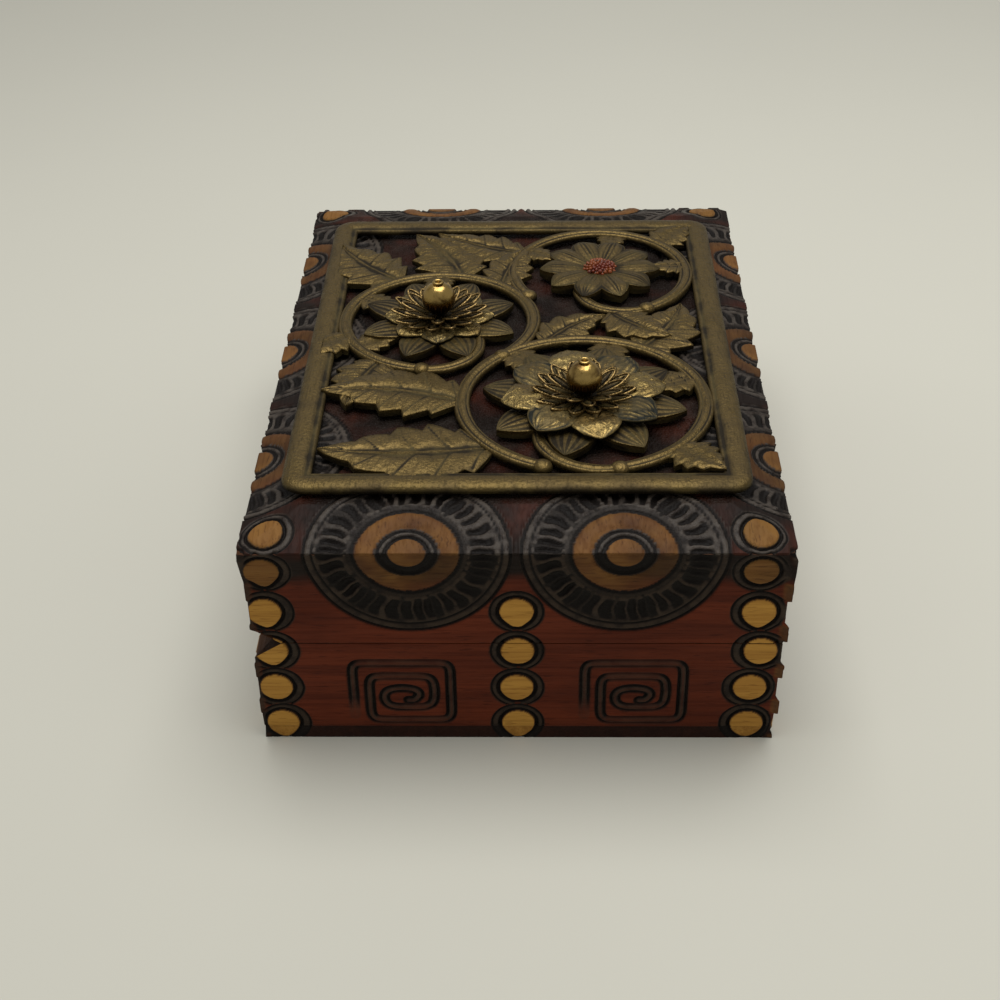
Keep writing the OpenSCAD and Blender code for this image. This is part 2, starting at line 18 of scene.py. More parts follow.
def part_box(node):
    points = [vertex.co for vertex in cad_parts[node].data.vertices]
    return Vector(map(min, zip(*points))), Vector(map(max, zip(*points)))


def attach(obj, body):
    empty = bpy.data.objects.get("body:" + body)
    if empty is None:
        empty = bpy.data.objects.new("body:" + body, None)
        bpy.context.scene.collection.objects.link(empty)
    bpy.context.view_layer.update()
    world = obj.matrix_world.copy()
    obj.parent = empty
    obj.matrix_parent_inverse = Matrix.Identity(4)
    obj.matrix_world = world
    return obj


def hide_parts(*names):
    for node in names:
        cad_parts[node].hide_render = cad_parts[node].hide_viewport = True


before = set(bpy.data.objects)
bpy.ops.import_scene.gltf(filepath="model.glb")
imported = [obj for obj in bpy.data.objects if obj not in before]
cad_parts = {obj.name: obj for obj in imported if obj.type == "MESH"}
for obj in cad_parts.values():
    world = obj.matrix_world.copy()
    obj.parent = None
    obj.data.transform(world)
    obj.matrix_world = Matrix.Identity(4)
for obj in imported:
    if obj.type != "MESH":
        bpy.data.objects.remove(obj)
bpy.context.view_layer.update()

MM = 0.001
LOG = logging.getLogger("keepsake_box")
GROOVE_WOOD = {"shade": 0.7, "burn": 0.25, "natural": 0.5, "tint": 1.0}

Values = dict[str, np.ndarray]
Colour = tuple[float, float, float]
Socket = bpy.types.NodeSocket


class Body(Enum):
    """The two bodies of the box."""

    BASE = "base"
    LID = "lid"


class Finish(Enum):
    """The material slots of the record, listed here but not used."""

    CARVED = "carved_wood"
    DARK = "dark_wood"
    PLAQUE = "antique_brass"
    PATINA = "patinated_brass"
    POLISHED = "polished_brass"
    ENAMEL = "enamel"


class Side(Enum):
    """The four sides, each a quarter turn on from the last."""

    NEAR = 0
    FRONT = 1
    FAR = 2
    HINGE = 3

    @property
    def is_end(self) -> bool:
        """Whether it is one of the two short sides."""
        return self in (Side.NEAR, Side.FAR)


# ---------------------------------------------------------------- small mathematics


def rise(x: np.ndarray, low: float, high: float) -> np.ndarray:
    """A smooth step from 0 below low to 1 above high."""
    t = np.clip((x - low) / (high - low), 0.0, 1.0)
    return t * t * (3.0 - 2.0 * t)


def vee(x: np.ndarray, at: float, half: float, depth: float) -> np.ndarray:
    """The depth of a V groove along x = at, with the given half width and depth."""
    return depth * np.clip(1.0 - np.abs(x - at) / half, 0.0, 1.0)


def mound(x: np.ndarray, width: float) -> np.ndarray:
    """A soft bump of height 1 round x = 0."""
    return np.exp(-((x / width) ** 2))


def chance(index: np.ndarray, seed: float) -> np.ndarray:
    """A fixed number from 0 to 1 for each index."""
    return np.modf(np.abs(np.sin(index * 12.9898 + seed * 78.233) * 43758.5453))[0]


def waver(a: np.ndarray, b: np.ndarray, size: float) -> np.ndarray:
    """Slow unevenness from -1 to 1 over two coordinates, with features of about the given size."""
    p, q = a / size, b / size
    waves = np.sin(1.7 * p + 0.6 * q + 1.3) + np.sin(2.9 * q - 0.8 * p + 4.1)
    waves = waves + np.sin(4.3 * p + 3.1 * q + 2.2) * 0.6 + np.sin(6.1 * q - 5.2 * p) * 0.4
    return waves / 3.0


# ---------------------------------------------------------------- meshes


def carving(count: int | tuple[int, ...], **given: float) -> Values:
    """What the carver did at each point of a surface, and where shade and sheen are painted on it.

    Args:
        count: the shape of the arrays.
        **given: starting values for any of them.

    Returns:
        Arrays named depth (mm below the wood's face), burn, natural (bare of stain), tint (how orange the bare
        wood is, which on the flare's buttons is painted shade), shade (how dark and purple the stain is, which on
        the walls is also painted shade on the flare and along the foot), silver (how far the
        burned wood is painted a lighter grey as painted sheen and made glossier) and ground (how far it is
        punched), from 0 to 1 but for the depth.
    """
    names = ("depth", "burn", "natural", "tint", "shade", "silver", "ground")
    return {name: np.full(count, given.get(name, 0.0)) for name in names}


def relief(count: int | tuple[int, ...], height: float | np.ndarray, patina: float | np.ndarray) -> Values:
    """Values of a cast or pressed brass surface: its height in the relief and its patina (painted shade on the
    bead), 0 to 1.
    """
    return {"height": np.full(count, height), "patina": np.full(count, patina)}


class Shell:
    """Points, faces and surface values of a piece, gathered step by step."""

    def __init__(self) -> None:
        """Starts with nothing."""
        self.points: list[np.ndarray] = []
        self.values: list[Values] = []
        self.faces: list[list[int]] = []
        self.smooth: list[bool] = []
        self.count = 0

    def add(self, points: np.ndarray, values: Values) -> np.ndarray:
        """Adds points with their values, and returns their indices in the same shape."""
        shape = points.shape[:-1]
        self.points.append(points.reshape(-1, 3))
        self.values.append({name: np.broadcast_to(v, shape).reshape(-1) for name, v in values.items()})
        index = np.arange(self.count, self.count + int(np.prod(shape))).reshape(shape)
        self.count += index.size
        return index

    def quads(self, index: np.ndarray, around: bool = False, closed: bool = False, flip: bool = False) -> None:
        """Joins a grid of indices with quads.

        Args:
            index: the grid, whose columns run on to the right and rows upwards, seen from outside.
            around: the columns close on themselves.
            closed: the rows close on themselves.
            flip: the grid is seen from inside.
        """
        if around:
            index = np.concatenate([index, index[:, :1]], 1)
        if closed:
            index = np.concatenate([index, index[:1]], 0)
        corners = [index[:-1, :-1], index[:-1, 1:], index[1:, 1:], index[1:, :-1]]
        if flip:
            corners.reverse()
        quads = np.stack(corners, -1).reshape(-1, 4)
        self.faces.extend(quads.tolist())
        self.smooth.extend([True] * len(quads))

    @staticmethod
    def border(index: np.ndarray) -> np.ndarray:
        """The loop round a grid, anticlockwise as seen from outside."""
        return np.concatenate([index[0, :-1], index[:-1, -1], index[-1, :0:-1], index[:0:-1, 0]])

    def ring(self, loop: np.ndarray, points: np.ndarray, values: Values) -> np.ndarray:
        """Carries a border on to the next loop of points, and joins the two with flat faces.

        A point that stays where the last one is takes its index, so that no face has an empty side.

        Args:
            loop: indices of the border.
            points: as many new points.
            values: their values.

        Returns:
            The indices of the new loop.
        """
        old = np.concatenate(self.points)[loop]
        new = self.add(points, values)
        for k in range(len(loop)):
            if np.linalg.norm(points[k] - old[k]) < 1e-6:
                new[k] = loop[k]
            elif k and np.linalg.norm(points[k] - points[k - 1]) < 1e-6:
                new[k] = new[k - 1]
        if np.linalg.norm(points[-1] - points[0]) < 1e-6:
            new[-1] = new[0]
        for corners in zip(loop, new, np.roll(new, -1), np.roll(loop, -1)):
            kept = list(dict.fromkeys(int(c) for c in corners))
            if len(kept) > 2:
                self.faces.append(kept)
                self.smooth.append(False)
        return new

    def cap(self, loop: np.ndarray) -> None:
        """Closes the end of the last loop, which is anticlockwise from outside, with one flat face."""
        self.faces.append(list(dict.fromkeys(int(i) for i in loop[::-1])))
        self.smooth.append(False)

    def blade(self, top: np.ndarray, bottom: np.ndarray, values: Values, under: Values) -> None:
        """A closed sheet between two grids of points of the same size, the first of which faces up."""
        upper = self.add(top, values)
        lower = self.add(bottom, under)
        self.quads(upper)
        self.quads(lower, flip=True)
        loops = np.stack([self.border(lower), self.border(upper)])
        self.quads(loops, around=True)

    def slab(self, top: np.ndarray, low: float, values: Values) -> None:
        """A closed relief: a grid of points that faces up, upright edges and a flat underside at a height."""
        index = self.add(top, values)
        self.quads(index)
        foot = np.stack([self.border(top[..., axis]) for axis in range(3)], 1)
        foot[:, 2] = low
        self.cap(self.ring(self.border(index), foot, relief(len(foot), 0.1, 0.6)))

    def tube(self, rings: np.ndarray, values: Values) -> None:
        """A closed tube through rings of points, each anticlockwise as seen from the tube's end."""
        index = self.add(rings, values)
        self.quads(index, around=True)
        for loop in (index[0], index[-1][::-1]):
            self.faces.append([int(i) for i in loop[::-1]])
            self.smooth.append(False)

    def build(self, name: str) -> bpy.types.Object:
        """Makes the object, with its place in its mesh and the values as attributes."""
        mesh = bpy.data.meshes.new(name)
        points = np.concatenate(self.points)
        used = np.zeros(len(points), bool)
        for face in self.faces:
            used[face] = True
        place = np.cumsum(used) - 1
        faces = [[int(place[i]) for i in face] for face in self.faces]
        mesh.from_pydata((points[used] * MM).tolist(), [], faces)
        mesh.polygons.foreach_set("use_smooth", self.smooth)
        for key in self.values[0]:
            data = np.concatenate([values[key] for values in self.values])[used]
            attribute = mesh.attributes.new(key, "FLOAT", "POINT")
            attribute.data.foreach_set("value", data.astype(np.float32))
        mesh.update()
        return link(name, mesh)


def link(name: str, data: bpy.types.ID) -> bpy.types.Object:
    """Makes an object of a mesh, a lamp or a camera and puts it in the scene."""
    piece = bpy.data.objects.new(name, data)
    bpy.context.scene.collection.objects.link(piece)
    return piece


def finish_piece(
    piece: bpy.types.Object,
    material: bpy.types.Material,
    body: Body,
    nodes: Sequence[str],
) -> None:
    """Dresses a piece, lets it ride on its body and hides the CAD nodes that it stands for.

    Args:
        piece: the finished object.
        material: its material.
        body: the body that carries it.
        nodes: the CAD nodes that it replaces.
    """
    piece.data.materials.clear()
    piece.data.materials.append(material)
    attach(piece, body.value)
    if nodes:
        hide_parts(*nodes)
    LOG.info("%s: %d faces on %s", piece.name, len(piece.data.polygons), body.value)


# ---------------------------------------------------------------- materials


class Nodes:
    """A node tree whose nodes are written as expressions."""

    def __init__(self, tree: bpy.types.NodeTree) -> None:
        """Takes the tree that the nodes go into."""
        self.tree = tree

    def node(self, kind: str, **settings: object) -> bpy.types.Node:
        """A new node with some of its settings."""
        made = self.tree.nodes.new(kind)
        for name, value in settings.items():
            setattr(made, name, value)
        return made

    def put(self, socket: Socket, value: object) -> None:
        """Links a socket to the value, or writes a plain value into it."""
        if isinstance(value, bpy.types.NodeSocket):
            self.tree.links.new(value, socket)
        elif isinstance(value, tuple) and socket.type == "RGBA":
            socket.default_value = (*value, 1.0)
        else:
            socket.default_value = value

    def math(self, operation: str, a: object, b: object = 0.0, clamp: bool = False) -> Socket:
        """One step of arithmetic."""
        made = self.node("ShaderNodeMath", operation=operation, use_clamp=clamp)
        self.put(made.inputs[0], a)
        self.put(made.inputs[1], b)
        return made.outputs[0]


class Graph(Nodes):
    """The nodes of one material."""

    def __init__(self, name: str) -> None:
        """Starts a material with its Principled shader and its Object coordinates."""
        self.material = bpy.data.materials.new(name)
        self.material.use_nodes = True
        super().__init__(self.material.node_tree)
        self.shader = self.tree.nodes["Principled BSDF"]
        self.place = self.node("ShaderNodeTexCoord").outputs["Object"]

    def set(self, name: str, value: object) -> None:
        """Sets or links an input of the Principled shader."""
        self.put(self.shader.inputs[name], value)

    def stretch(self, scale: tuple[float, float, float], shift: Sequence[float] = (0, 0, 0)) -> Socket:
        """The Object coordinates, scaled and shifted."""
        made = self.node("ShaderNodeMapping")
        self.put(made.inputs["Vector"], self.place)
        made.inputs["Scale"].default_value = scale
        made.inputs["Location"].default_value = tuple(shift)
        return made.outputs[0]

    def noise(self, where: Socket, scale: float, detail: float = 4.0, warp: float = 0.0) -> Socket:
        """Noise from 0 to 1."""
        made = self.node("ShaderNodeTexNoise")
        self.put(made.inputs["Vector"], where)
        self.put(made.inputs["Scale"], scale)
        self.put(made.inputs["Detail"], detail)
        self.put(made.inputs["Distortion"], warp)
        return made.outputs["Fac"]

    def cells(self, where: Socket, scale: float) -> Socket:
        """The distance to the nearest of many scattered points."""
        made = self.node("ShaderNodeTexVoronoi", feature="F1")
        self.put(made.inputs["Vector"], where)
        self.put(made.inputs["Scale"], scale)
        return made.outputs["Distance"]

    def between(self, value: object, low: float, high: float, to: tuple[float, float] = (0, 1)) -> Socket:
        """A smooth change from one end of a span to the other as the value passes from low to high."""
        made = self.node("ShaderNodeMapRange", interpolation_type="SMOOTHSTEP")
        self.put(made.inputs["Value"], value)
        made.inputs["From Min"].default_value = low
        made.inputs["From Max"].default_value = high
        made.inputs["To Min"].default_value, made.inputs["To Max"].default_value = to
        return made.outputs["Result"]

    def mix(self, share: object, a: object, b: object, blend: str = "MIX") -> Socket:
        """A colour between a and b."""
        made = self.node("ShaderNodeMix", data_type="RGBA", blend_type=blend)
        self.put(made.inputs[0], share)
        self.put(made.inputs[6], a)
        self.put(made.inputs[7], b)
        return made.outputs[2]

    def value(self, name: str) -> Socket:
        """A value of the surface, as its mesh attribute says."""
        return self.node("ShaderNodeAttribute", attribute_name=name).outputs["Fac"]

    def bump(self, height: object, distance: float, under: Socket | None = None) -> Socket:
        """A normal bumped by a height from 0 to 1 over a distance in mm."""
        made = self.node("ShaderNodeBump")
        made.inputs["Distance"].default_value = distance * MM
        self.put(made.inputs["Height"], height)
        if under is not None:
            self.put(made.inputs["Normal"], under)
        return made.outputs["Normal"]


@dataclass(frozen=True)
class CarvedWood:
    """Stained, burned and varnished wood, whose grain runs along X or Y."""

    along_x: bool
    red: Colour = (0.128, 0.024, 0.008)
    red_dark: Colour = (0.078, 0.014, 0.005)
    purple: Colour = (0.011, 0.006, 0.004)
    golden: Colour = (0.530, 0.275, 0.052)
    golden_dark: Colour = (0.380, 0.180, 0.032)
    orange: Colour = (0.118, 0.048, 0.015)
    orange_dark: Colour = (0.072, 0.028, 0.010)
    burned: Colour = (0.0060, 0.0042, 0.0032)
    # painted sheen: a lighter grey for the burned ridges of the top board, standing in for the lamp's sheen
    ash_and_painted_sheen: Colour = (0.064, 0.052, 0.042)
    ash_brown: Colour = (0.040, 0.027, 0.018)
    ash_dark: Colour = (0.018, 0.012, 0.009)
    grain_tone: Colour = (0.5, 0.42, 0.36)
    pore_tone: Colour = (0.35, 0.28, 0.25)
    grain_scale: float = 1300.0
    band_scale: float = 260.0
    pore_scale: float = 2600.0

    def build(self) -> bpy.types.Material:
        """The material, which reads what the carver did from the mesh, with painted shade in the hollows and
        painted sheen on the top board.
        """
        g = Graph("carved_wood_" + ("across" if self.along_x else "lengthwise"))
        along_grain = (0.045, 1.0, 1.0) if self.along_x else (1.0, 0.045, 1.0)
        along_pore = (0.09, 1.0, 1.0) if self.along_x else (1.0, 0.09, 1.0)
        grain = g.noise(g.stretch(along_grain), self.grain_scale, 5.0, 0.5)
        band = g.noise(g.stretch(along_grain, (3.0, 1.0, 2.0)), self.band_scale, 4.0, 0.8)
        pores = g.between(g.noise(g.stretch(along_pore, (1.0, 5.0, 3.0)), self.pore_scale, 2.0), 0.58, 0.70)
        patch = g.noise(g.place, 70.0, 3.0, 0.4)
        depth, burn, silver = g.value("depth"), g.value("burn"), g.value("silver")

        stain = g.mix(g.between(band, 0.35, 0.68), self.red, self.red_dark)
        stain = g.mix(g.between(patch, 0.50, 0.72, (0.0, 0.55)), stain, self.red_dark)
        shade = g.math("MULTIPLY", g.value("shade"), g.between(patch, 0.25, 0.5, (0.6, 1.0)))
        stain = g.mix(shade, stain, self.purple)
        bare = g.mix(g.between(band, 0.36, 0.66, (0.0, 0.65)), self.golden, self.golden_dark)
        ringed = g.mix(g.between(patch, 0.42, 0.66), self.orange, self.orange_dark)
        bare = g.mix(g.value("tint"), bare, ringed)
        wood = g.mix(g.value("natural"), stain, bare)
        wood = g.mix(g.between(grain, 0.42, 0.70, (0.0, 0.42)), wood, self.grain_tone, "MULTIPLY")
        wood = g.mix(g.math("MULTIPLY", pores, 0.55), wood, self.pore_tone, "MULTIPLY")
        # painted sheen: on the top board the burned wood takes the lighter grey, elsewhere the brown ash
        ash_and_painted_sheen = g.mix(silver, self.ash_brown, self.ash_and_painted_sheen)
        ash_and_painted_sheen = g.mix(g.between(g.noise(g.place, 420.0, 3.0), 0.40, 0.72), ash_and_painted_sheen, self.ash_dark)
        char = g.mix(g.between(depth, 0.10, 0.42), ash_and_painted_sheen, self.burned)
        colour = g.mix(burn, wood, char)
        # painted shade: the deeper the carving lies, the more its colour is darkened towards the burned colour
        hollow_shade = g.math("MULTIPLY", g.between(depth, 0.15, 0.7), 0.75)
        colour = g.mix(hollow_shade, colour, self.burned)

        g.set("Base Color", colour)
        sheen = g.math("MULTIPLY", g.math("MULTIPLY", burn, silver), g.between(depth, 0.14, 0.34, (1.0, 0.0)))
        plain = g.between(grain, 0.3, 0.8, (0.52, 0.66))
        g.set("Roughness", g.math("SUBTRACT", plain, g.math("MULTIPLY", sheen, 0.20)))
        g.set("Specular IOR Level", 0.11)
        fine = g.bump(grain, 0.10)
        rough = g.math("MULTIPLY", g.noise(g.place, 1500.0, 3.0), burn)
        stipple = g.math("MULTIPLY", g.cells(g.place, 1700.0), g.value("ground"))
        g.set("Normal", g.bump(stipple, 0.5, g.bump(rough, 0.22, fine)))
        return g.material


@dataclass(frozen=True)
class AgedBrass:
    """Cast or pressed brass, dark in its hollows and rubbed bright on its heights."""

    name: str
    bright: Colour = (0.185, 0.126, 0.044)
    warm: Colour = (0.125, 0.084, 0.028)
    dark: Colour = (0.018, 0.013, 0.006)
    green: Colour = (0.066, 0.050, 0.018)
    roughness: float = 0.46
    metal: tuple[float, float] = (0.90, 0.50)

    def build(self) -> bpy.types.Material:
        """The material, which reads the height in the relief and the patina from the mesh."""
        g = Graph(self.name)
        height, patina = g.value("height"), g.value("patina")
        broad = g.noise(g.place, 130.0, 4.0, 0.5)
        fine = g.noise(g.place, 1400.0, 5.0)
        brushed = g.noise(g.stretch((1.0, 0.12, 1.0)), 2600.0, 3.0)
        worn = g.math("ADD", height, g.math("MULTIPLY", g.math("SUBTRACT", broad, 0.5), 0.55))
        metal = g.mix(g.between(broad, 0.35, 0.68), self.bright, self.warm)
        metal = g.mix(g.between(brushed, 0.50, 0.70, (0.0, 0.35)), metal, self.dark)
        metal = g.mix(g.between(fine, 0.48, 0.72, (0.0, 0.5)), metal, self.green)
        tarnish = g.mix(g.between(broad, 0.4, 0.65), self.dark, self.green)
        share = g.math("MULTIPLY", g.between(worn, 0.22, 0.72, (1.0, 0.0)), 0.92)
        covered = g.math("ADD", share, g.math("MULTIPLY", patina, g.between(worn, 0.75, 1.0, (0.8, 0.25))), True)
        g.set("Base Color", g.mix(covered, metal, tarnish))
        g.set("Metallic", g.between(covered, 0.0, 1.0, self.metal))
        g.set("Specular IOR Level", 0.2)
        rough = g.between(covered, 0.0, 1.0, (self.roughness - 0.08, self.roughness + 0.14))
        g.set("Roughness", g.math("ADD", rough, g.math("MULTIPLY", g.math("SUBTRACT", fine, 0.5), 0.25)))
        g.set("Normal", g.bump(fine, 0.16, g.bump(brushed, 0.09)))
        return g.material


@dataclass(frozen=True)
class PlainBrass:
    """Brass with a little tarnish, for beads, rivets, hinges and pins."""

    name: str
    bright: Colour
    tarnish: Colour
    roughness: float
    spots: float
    shadow: Colour = (0.030, 0.015, 0.006)

    def build(self) -> bpy.types.Material:
        """The material, which darkens to its shadow colour as painted shade where the mesh's value says so, as on
        the bead's lower half.
        """
        g = Graph(self.name)
        cloud = g.noise(g.place, 420.0, 4.0, 0.6)
        fine = g.noise(g.place, 2600.0, 3.0)
        share = g.between(cloud, 0.62 - self.spots * 0.3, 0.78, (0.0, 1.0))
        colour = g.mix(share, self.bright, self.tarnish)
        g.set("Base Color", g.mix(g.value("patina"), colour, self.shadow))
        g.set("Metallic", 1.0)
        rough = g.between(fine, 0.3, 0.7, (self.roughness, self.roughness + 0.1))
        g.set("Roughness", g.math("ADD", rough, g.math("MULTIPLY", share, 0.2)))
        g.set("Normal", g.bump(fine, 0.03))
        return g.material


@dataclass(frozen=True)
class Enamel:
    """Glassy enamel seeds that change from red through orange to brown."""

    red: Colour = (0.130, 0.018, 0.005)
    orange: Colour = (0.210, 0.048, 0.008)
    brown: Colour = (0.045, 0.013, 0.005)

    def build(self) -> bpy.types.Material:
        """The material."""
        g = Graph("enamel")
        cloud = g.noise(g.place, 260.0, 2.0)
        colour = g.mix(g.between(cloud, 0.38, 0.55), self.red, self.orange)
        spots = g.noise(g.stretch((1, 1, 1), (2, 3, 1)), 420.0, 2.0)
        colour = g.mix(g.between(spots, 0.5, 0.66), colour, self.brown)
        g.set("Base Color", colour)
        g.set("Roughness", g.between(cloud, 0.3, 0.7, (0.30, 0.45)))
        g.set("Specular IOR Level", 0.3)
        g.set("Coat Weight", 0.15)
        g.set("Normal", g.bump(g.noise(g.place, 1800.0, 2.0), 0.04))
        return g.material


# ---------------------------------------------------------------- the wooden box


@dataclass(frozen=True)
class BoxSizes:
    """The box's own sizes in mm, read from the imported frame."""

    ridge_x: float
    ridge_y: float
    face_x: float
    inner_x: float
    inner_y: float
    foot_x: float
    wall_low: float
    base_top: float
    lid_low: float
    board_z: float
    tongue_z: float
    top_z: float
    pin_z: float
    edge_h: float = 0.5
    bevel_in: float = 12.0
    flare_h: float = 7.5
    groove_in: float = 6.0
    groove_h: float = 3.8
    tongue_gap: float = 0.15

    @classmethod
    def read(cls) -> "BoxSizes":
        """Measures the frame's nodes."""
        front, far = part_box("base_front_wall"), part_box("base_far_end")
        lid_front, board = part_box("lid_front_wall"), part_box("lid_top_board")
        pin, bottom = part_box("hinge_pin_near"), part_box("base_bottom_board")
        middle = (pin[0] + pin[1]) / 2
        return cls(
            ridge_x=board[1].x / MM,
            ridge_y=board[1].y / MM,
            face_x=front[1].x / MM,
            inner_x=front[0].x / MM,
            inner_y=far[0].y / MM,
            foot_x=-bottom[0].x / MM,
            wall_low=front[0].z / MM,
            base_top=front[1].z / MM,
            lid_low=lid_front[0].z / MM,
            board_z=lid_front[1].z / MM,
            tongue_z=board[0].z / MM,
            top_z=board[1].z / MM,
            pin_z=middle.z / MM,
        )

    @property
    def ridge_z(self) -> float:
        """Height of the ridge round the lid."""
        return self.board_z + self.edge_h

    @property
    def tongue_x(self) -> float:
        """Half the width of the board's tongue."""
        return self.inner_x - self.tongue_gap

    @property
    def tongue_y(self) -> float:
        """Half the length of the board's tongue."""
        return self.inner_y - self.tongue_gap

    @property
    def wall_in(self) -> float:
        """How far the walls stand in from the ridge."""
        return self.ridge_x - self.face_x

    def half(self, side: Side) -> float:
        """Distance of a side's ridge from the middle."""
        return self.ridge_y if side.is_end else self.ridge_x

    def span(self, side: Side) -> float:
        """Half the length of a side's ridge."""
        return self.ridge_x if side.is_end else self.ridge_y

    def notch(self, z: np.ndarray) -> np.ndarray:
        """How far the hinge's V groove reaches in from the wall's face at a height."""
        return self.groove_in * np.clip(1.0 - np.abs(z - self.pin_z) / self.groove_h, 0.0, 1.0)

    def inset(self, side: Side, z: np.ndarray) -> np.ndarray:
        """Distance of a side's face in from its ridge at a height, before any carving."""
        inset = np.interp(z, [self.board_z - self.flare_h, self.board_z], [self.wall_in, 0.0])
        foot = self.foot_x if not side.is_end else self.foot_x + self.ridge_y - self.ridge_x
        lean = self.half(side) - foot
        inset = np.where(z < self.wall_low, np.interp(z, [0.0, self.wall_low], [lean, self.wall_in]), inset)
        return inset + self.notch(z) if side is Side.HINGE else inset


@dataclass(frozen=True)
class Button:
    """A light disc in a burned groove, with a burned ring round it, cut by hand and so never quite even.

    A groove is given as half its width and its depth. point is how far a disc can be drawn down to a tip.
    """

    disc_r: float = 3.45
    groove_r: float = 3.95
    ridge_r: float = 4.5
    outer_r: float = 5.5
    end_r: float = 5.95
    flat: float = 0.95
    groove: tuple[float, float] = (0.60, 0.95)
    ring_line: tuple[float, float] = (0.40, 0.62)
    point: float = 0.95

    def cut(self, s: Values, du: np.ndarray, dt: np.ndarray, number: float, tint: float, lean: float = 0.0) -> None:
        """Carves one button over what was there before.

        Args:
            s: the surface's values.
            du: distances along the side from its centre.
            dt: distances up from its centre.
            number: its number, which gives it its own unevenness.
            tint: how far its disc has darkened to orange, which on the row on the flare is painted shade.
            lean: how far its ring lies off its disc, along the side.
        """
        chances = [float(chance(np.array(number), seed)) for seed in (1.0, 2.0, 3.0)]
        ring = np.hypot(du - lean, dt / self.flat) + 0.06 * waver(du + 5 * number, dt, 2.2)
        down = np.clip(-dt / np.maximum(ring, 1e-6), 0, 1) ** 10
        disc = np.hypot(du - 0.3 * (chances[0] - 0.5), (dt - 0.25 * (chances[1] - 0.5)) / (self.flat + 0.03))
        point = self.point * float(rise(np.array(chances[2]), 0.25, 0.75))
        disc = disc + 0.05 * waver(du + 9 * number, dt, 1.6) - point * down
        inside = ring < self.end_r
        depth = np.maximum(vee(disc, self.groove_r, *self.groove), 0.15 * rise(disc, self.groove_r, self.ridge_r))
        depth = np.maximum(depth, vee(ring, self.outer_r, *self.ring_line))
        depth *= 1 - rise(ring, self.end_r - 0.2, self.end_r)
        bare = 1 - rise(disc, self.disc_r - 0.05, self.disc_r + 0.15)
        burn = (1 - bare) * (1 - rise(ring, self.end_r - 0.25, self.end_r))
        for name, data in (("depth", depth), ("natural", bare), ("burn", burn)):
            s[name][inside] = data[inside]
        s["tint"][inside] = tint * bare[inside]


@dataclass(frozen=True)
class Rosette:
    """A large round rosette that lies over the ridge: boss, light ring, gouged flutes and rim.

    Each of the rim's lines is given as its radius, half its width and its depth.
    """

    boss_r: float = 3.65
    ring_in: float = 6.5
    ring_out: float = 10.6
    flute_in: float = 12.3
    flute_out: float = 18.7
    rim_r: float = 19.3
    end_r: float = 21.3
    flutes: int = 40
    flute_depth: float = 0.95
    hollow_depth: float = 0.78
    rim_lines: tuple[tuple[float, float, float], ...] = ((19.05, 0.5, 0.5), (20.8, 0.52, 0.68))

    def cut(self, s: Values, du: np.ndarray, dt: np.ndarray, darker: float = 0.0) -> None:
        """Carves the rosette.

        Args:
            s: the surface's values.
            du: distances along the side from its centre.
            dt: distances from the ridge, measured up the bevel, or down the wall as negative numbers.
            darker: how far its natural wood has darkened.
        """
        r = np.hypot(du, dt)
        inside = r < self.end_r
        on_bevel = rise(dt, -0.3, 0.3)
        depth = self.hollow_depth * rise(r, self.boss_r - 0.1, 4.35) * (1 - rise(r, 5.85, self.ring_in + 0.05))
        depth -= mound(r - 5.15, 0.58) * (0.20 + 0.54 * on_bevel)
        depth += 0.26 * rise(r, self.ring_out + 0.5, self.ring_out + 0.8) * (1 - rise(r, 12.1, 12.6))
        depth += vee(r, self.ring_out + 0.35, 0.5, 0.62)
        over = np.clip(np.abs(r - (self.ring_in + self.ring_out) / 2) / ((self.ring_out - self.ring_in) / 2), 0, 1)
        depth += 0.40 * over ** 3 * (r > self.ring_in) * (r < self.ring_out)
        turn = np.arctan2(dt, du) * self.flutes / (2 * math.pi)
        turn = turn + 0.30 * np.sin(turn * 0.9 + 1.0) + 0.10 * np.sin(r * 1.15 + 3.0 * np.sin(turn * 0.45))
        index = np.floor(turn)
        inner = self.flute_in + 0.9 * chance(index, 1.0)
        outer = self.flute_out - 0.8 * chance(index, 2.0)
        along = np.clip((r - inner) / (outer - inner), 0.0, 1.0)
        narrow = 0.22 + 0.26 * on_bevel + 0.16 * chance(index, 6.0)
        across = np.clip((np.sin(math.pi * (turn - index)) - narrow) / (0.95 - narrow), 0, 1)
        gouge = np.sin(math.pi * along) ** 0.5 * across ** 0.65 * (0.66 + 0.36 * chance(index, 3.0))
        band = rise(r, self.flute_in - 0.3, self.flute_in + 0.2) * (1 - rise(r, 18.4, 18.9))
        ridge = 0.04 + 0.32 * chance(np.round(turn), 4.0) * (1 - across)
        depth += band * (ridge + (self.flute_depth - ridge) * gouge)
        depth += sum(vee(r, *line) for line in self.rim_lines)
        depth += 0.07 * rise(r, self.rim_r, self.rim_r + 0.3)
        bare = 1 - rise(r, self.boss_r, self.boss_r + 0.2)
        light = rise(r, self.ring_in - 0.15, self.ring_in + 0.05)
        bare += light * (1 - rise(r, self.ring_out - 0.1, self.ring_out + 0.12))
        burn = (1 - bare) * (1 - rise(r, self.end_r - 0.3, self.end_r))
        # painted shade: on the wall half, which lies on the flare under the ridge, the light ring is mixed with
        # stain, more so to the right
        bare = bare * (1 - (1 - on_bevel) * rise(r, self.boss_r, self.ring_in) * (0.30 + 0.25 * np.tanh(du / 3)))
        bare = bare * (1 - darker * rise(r, self.boss_r, self.ring_in))
        for name, data in (("depth", np.maximum(depth, 0)), ("natural", bare), ("burn", burn)):
            s[name][inside] = data[inside]
        s["tint"][inside] = (0.90 + 0.10 * waver(du + 40, dt, 4.0))[inside]
        s["ground"][inside] = 0.0


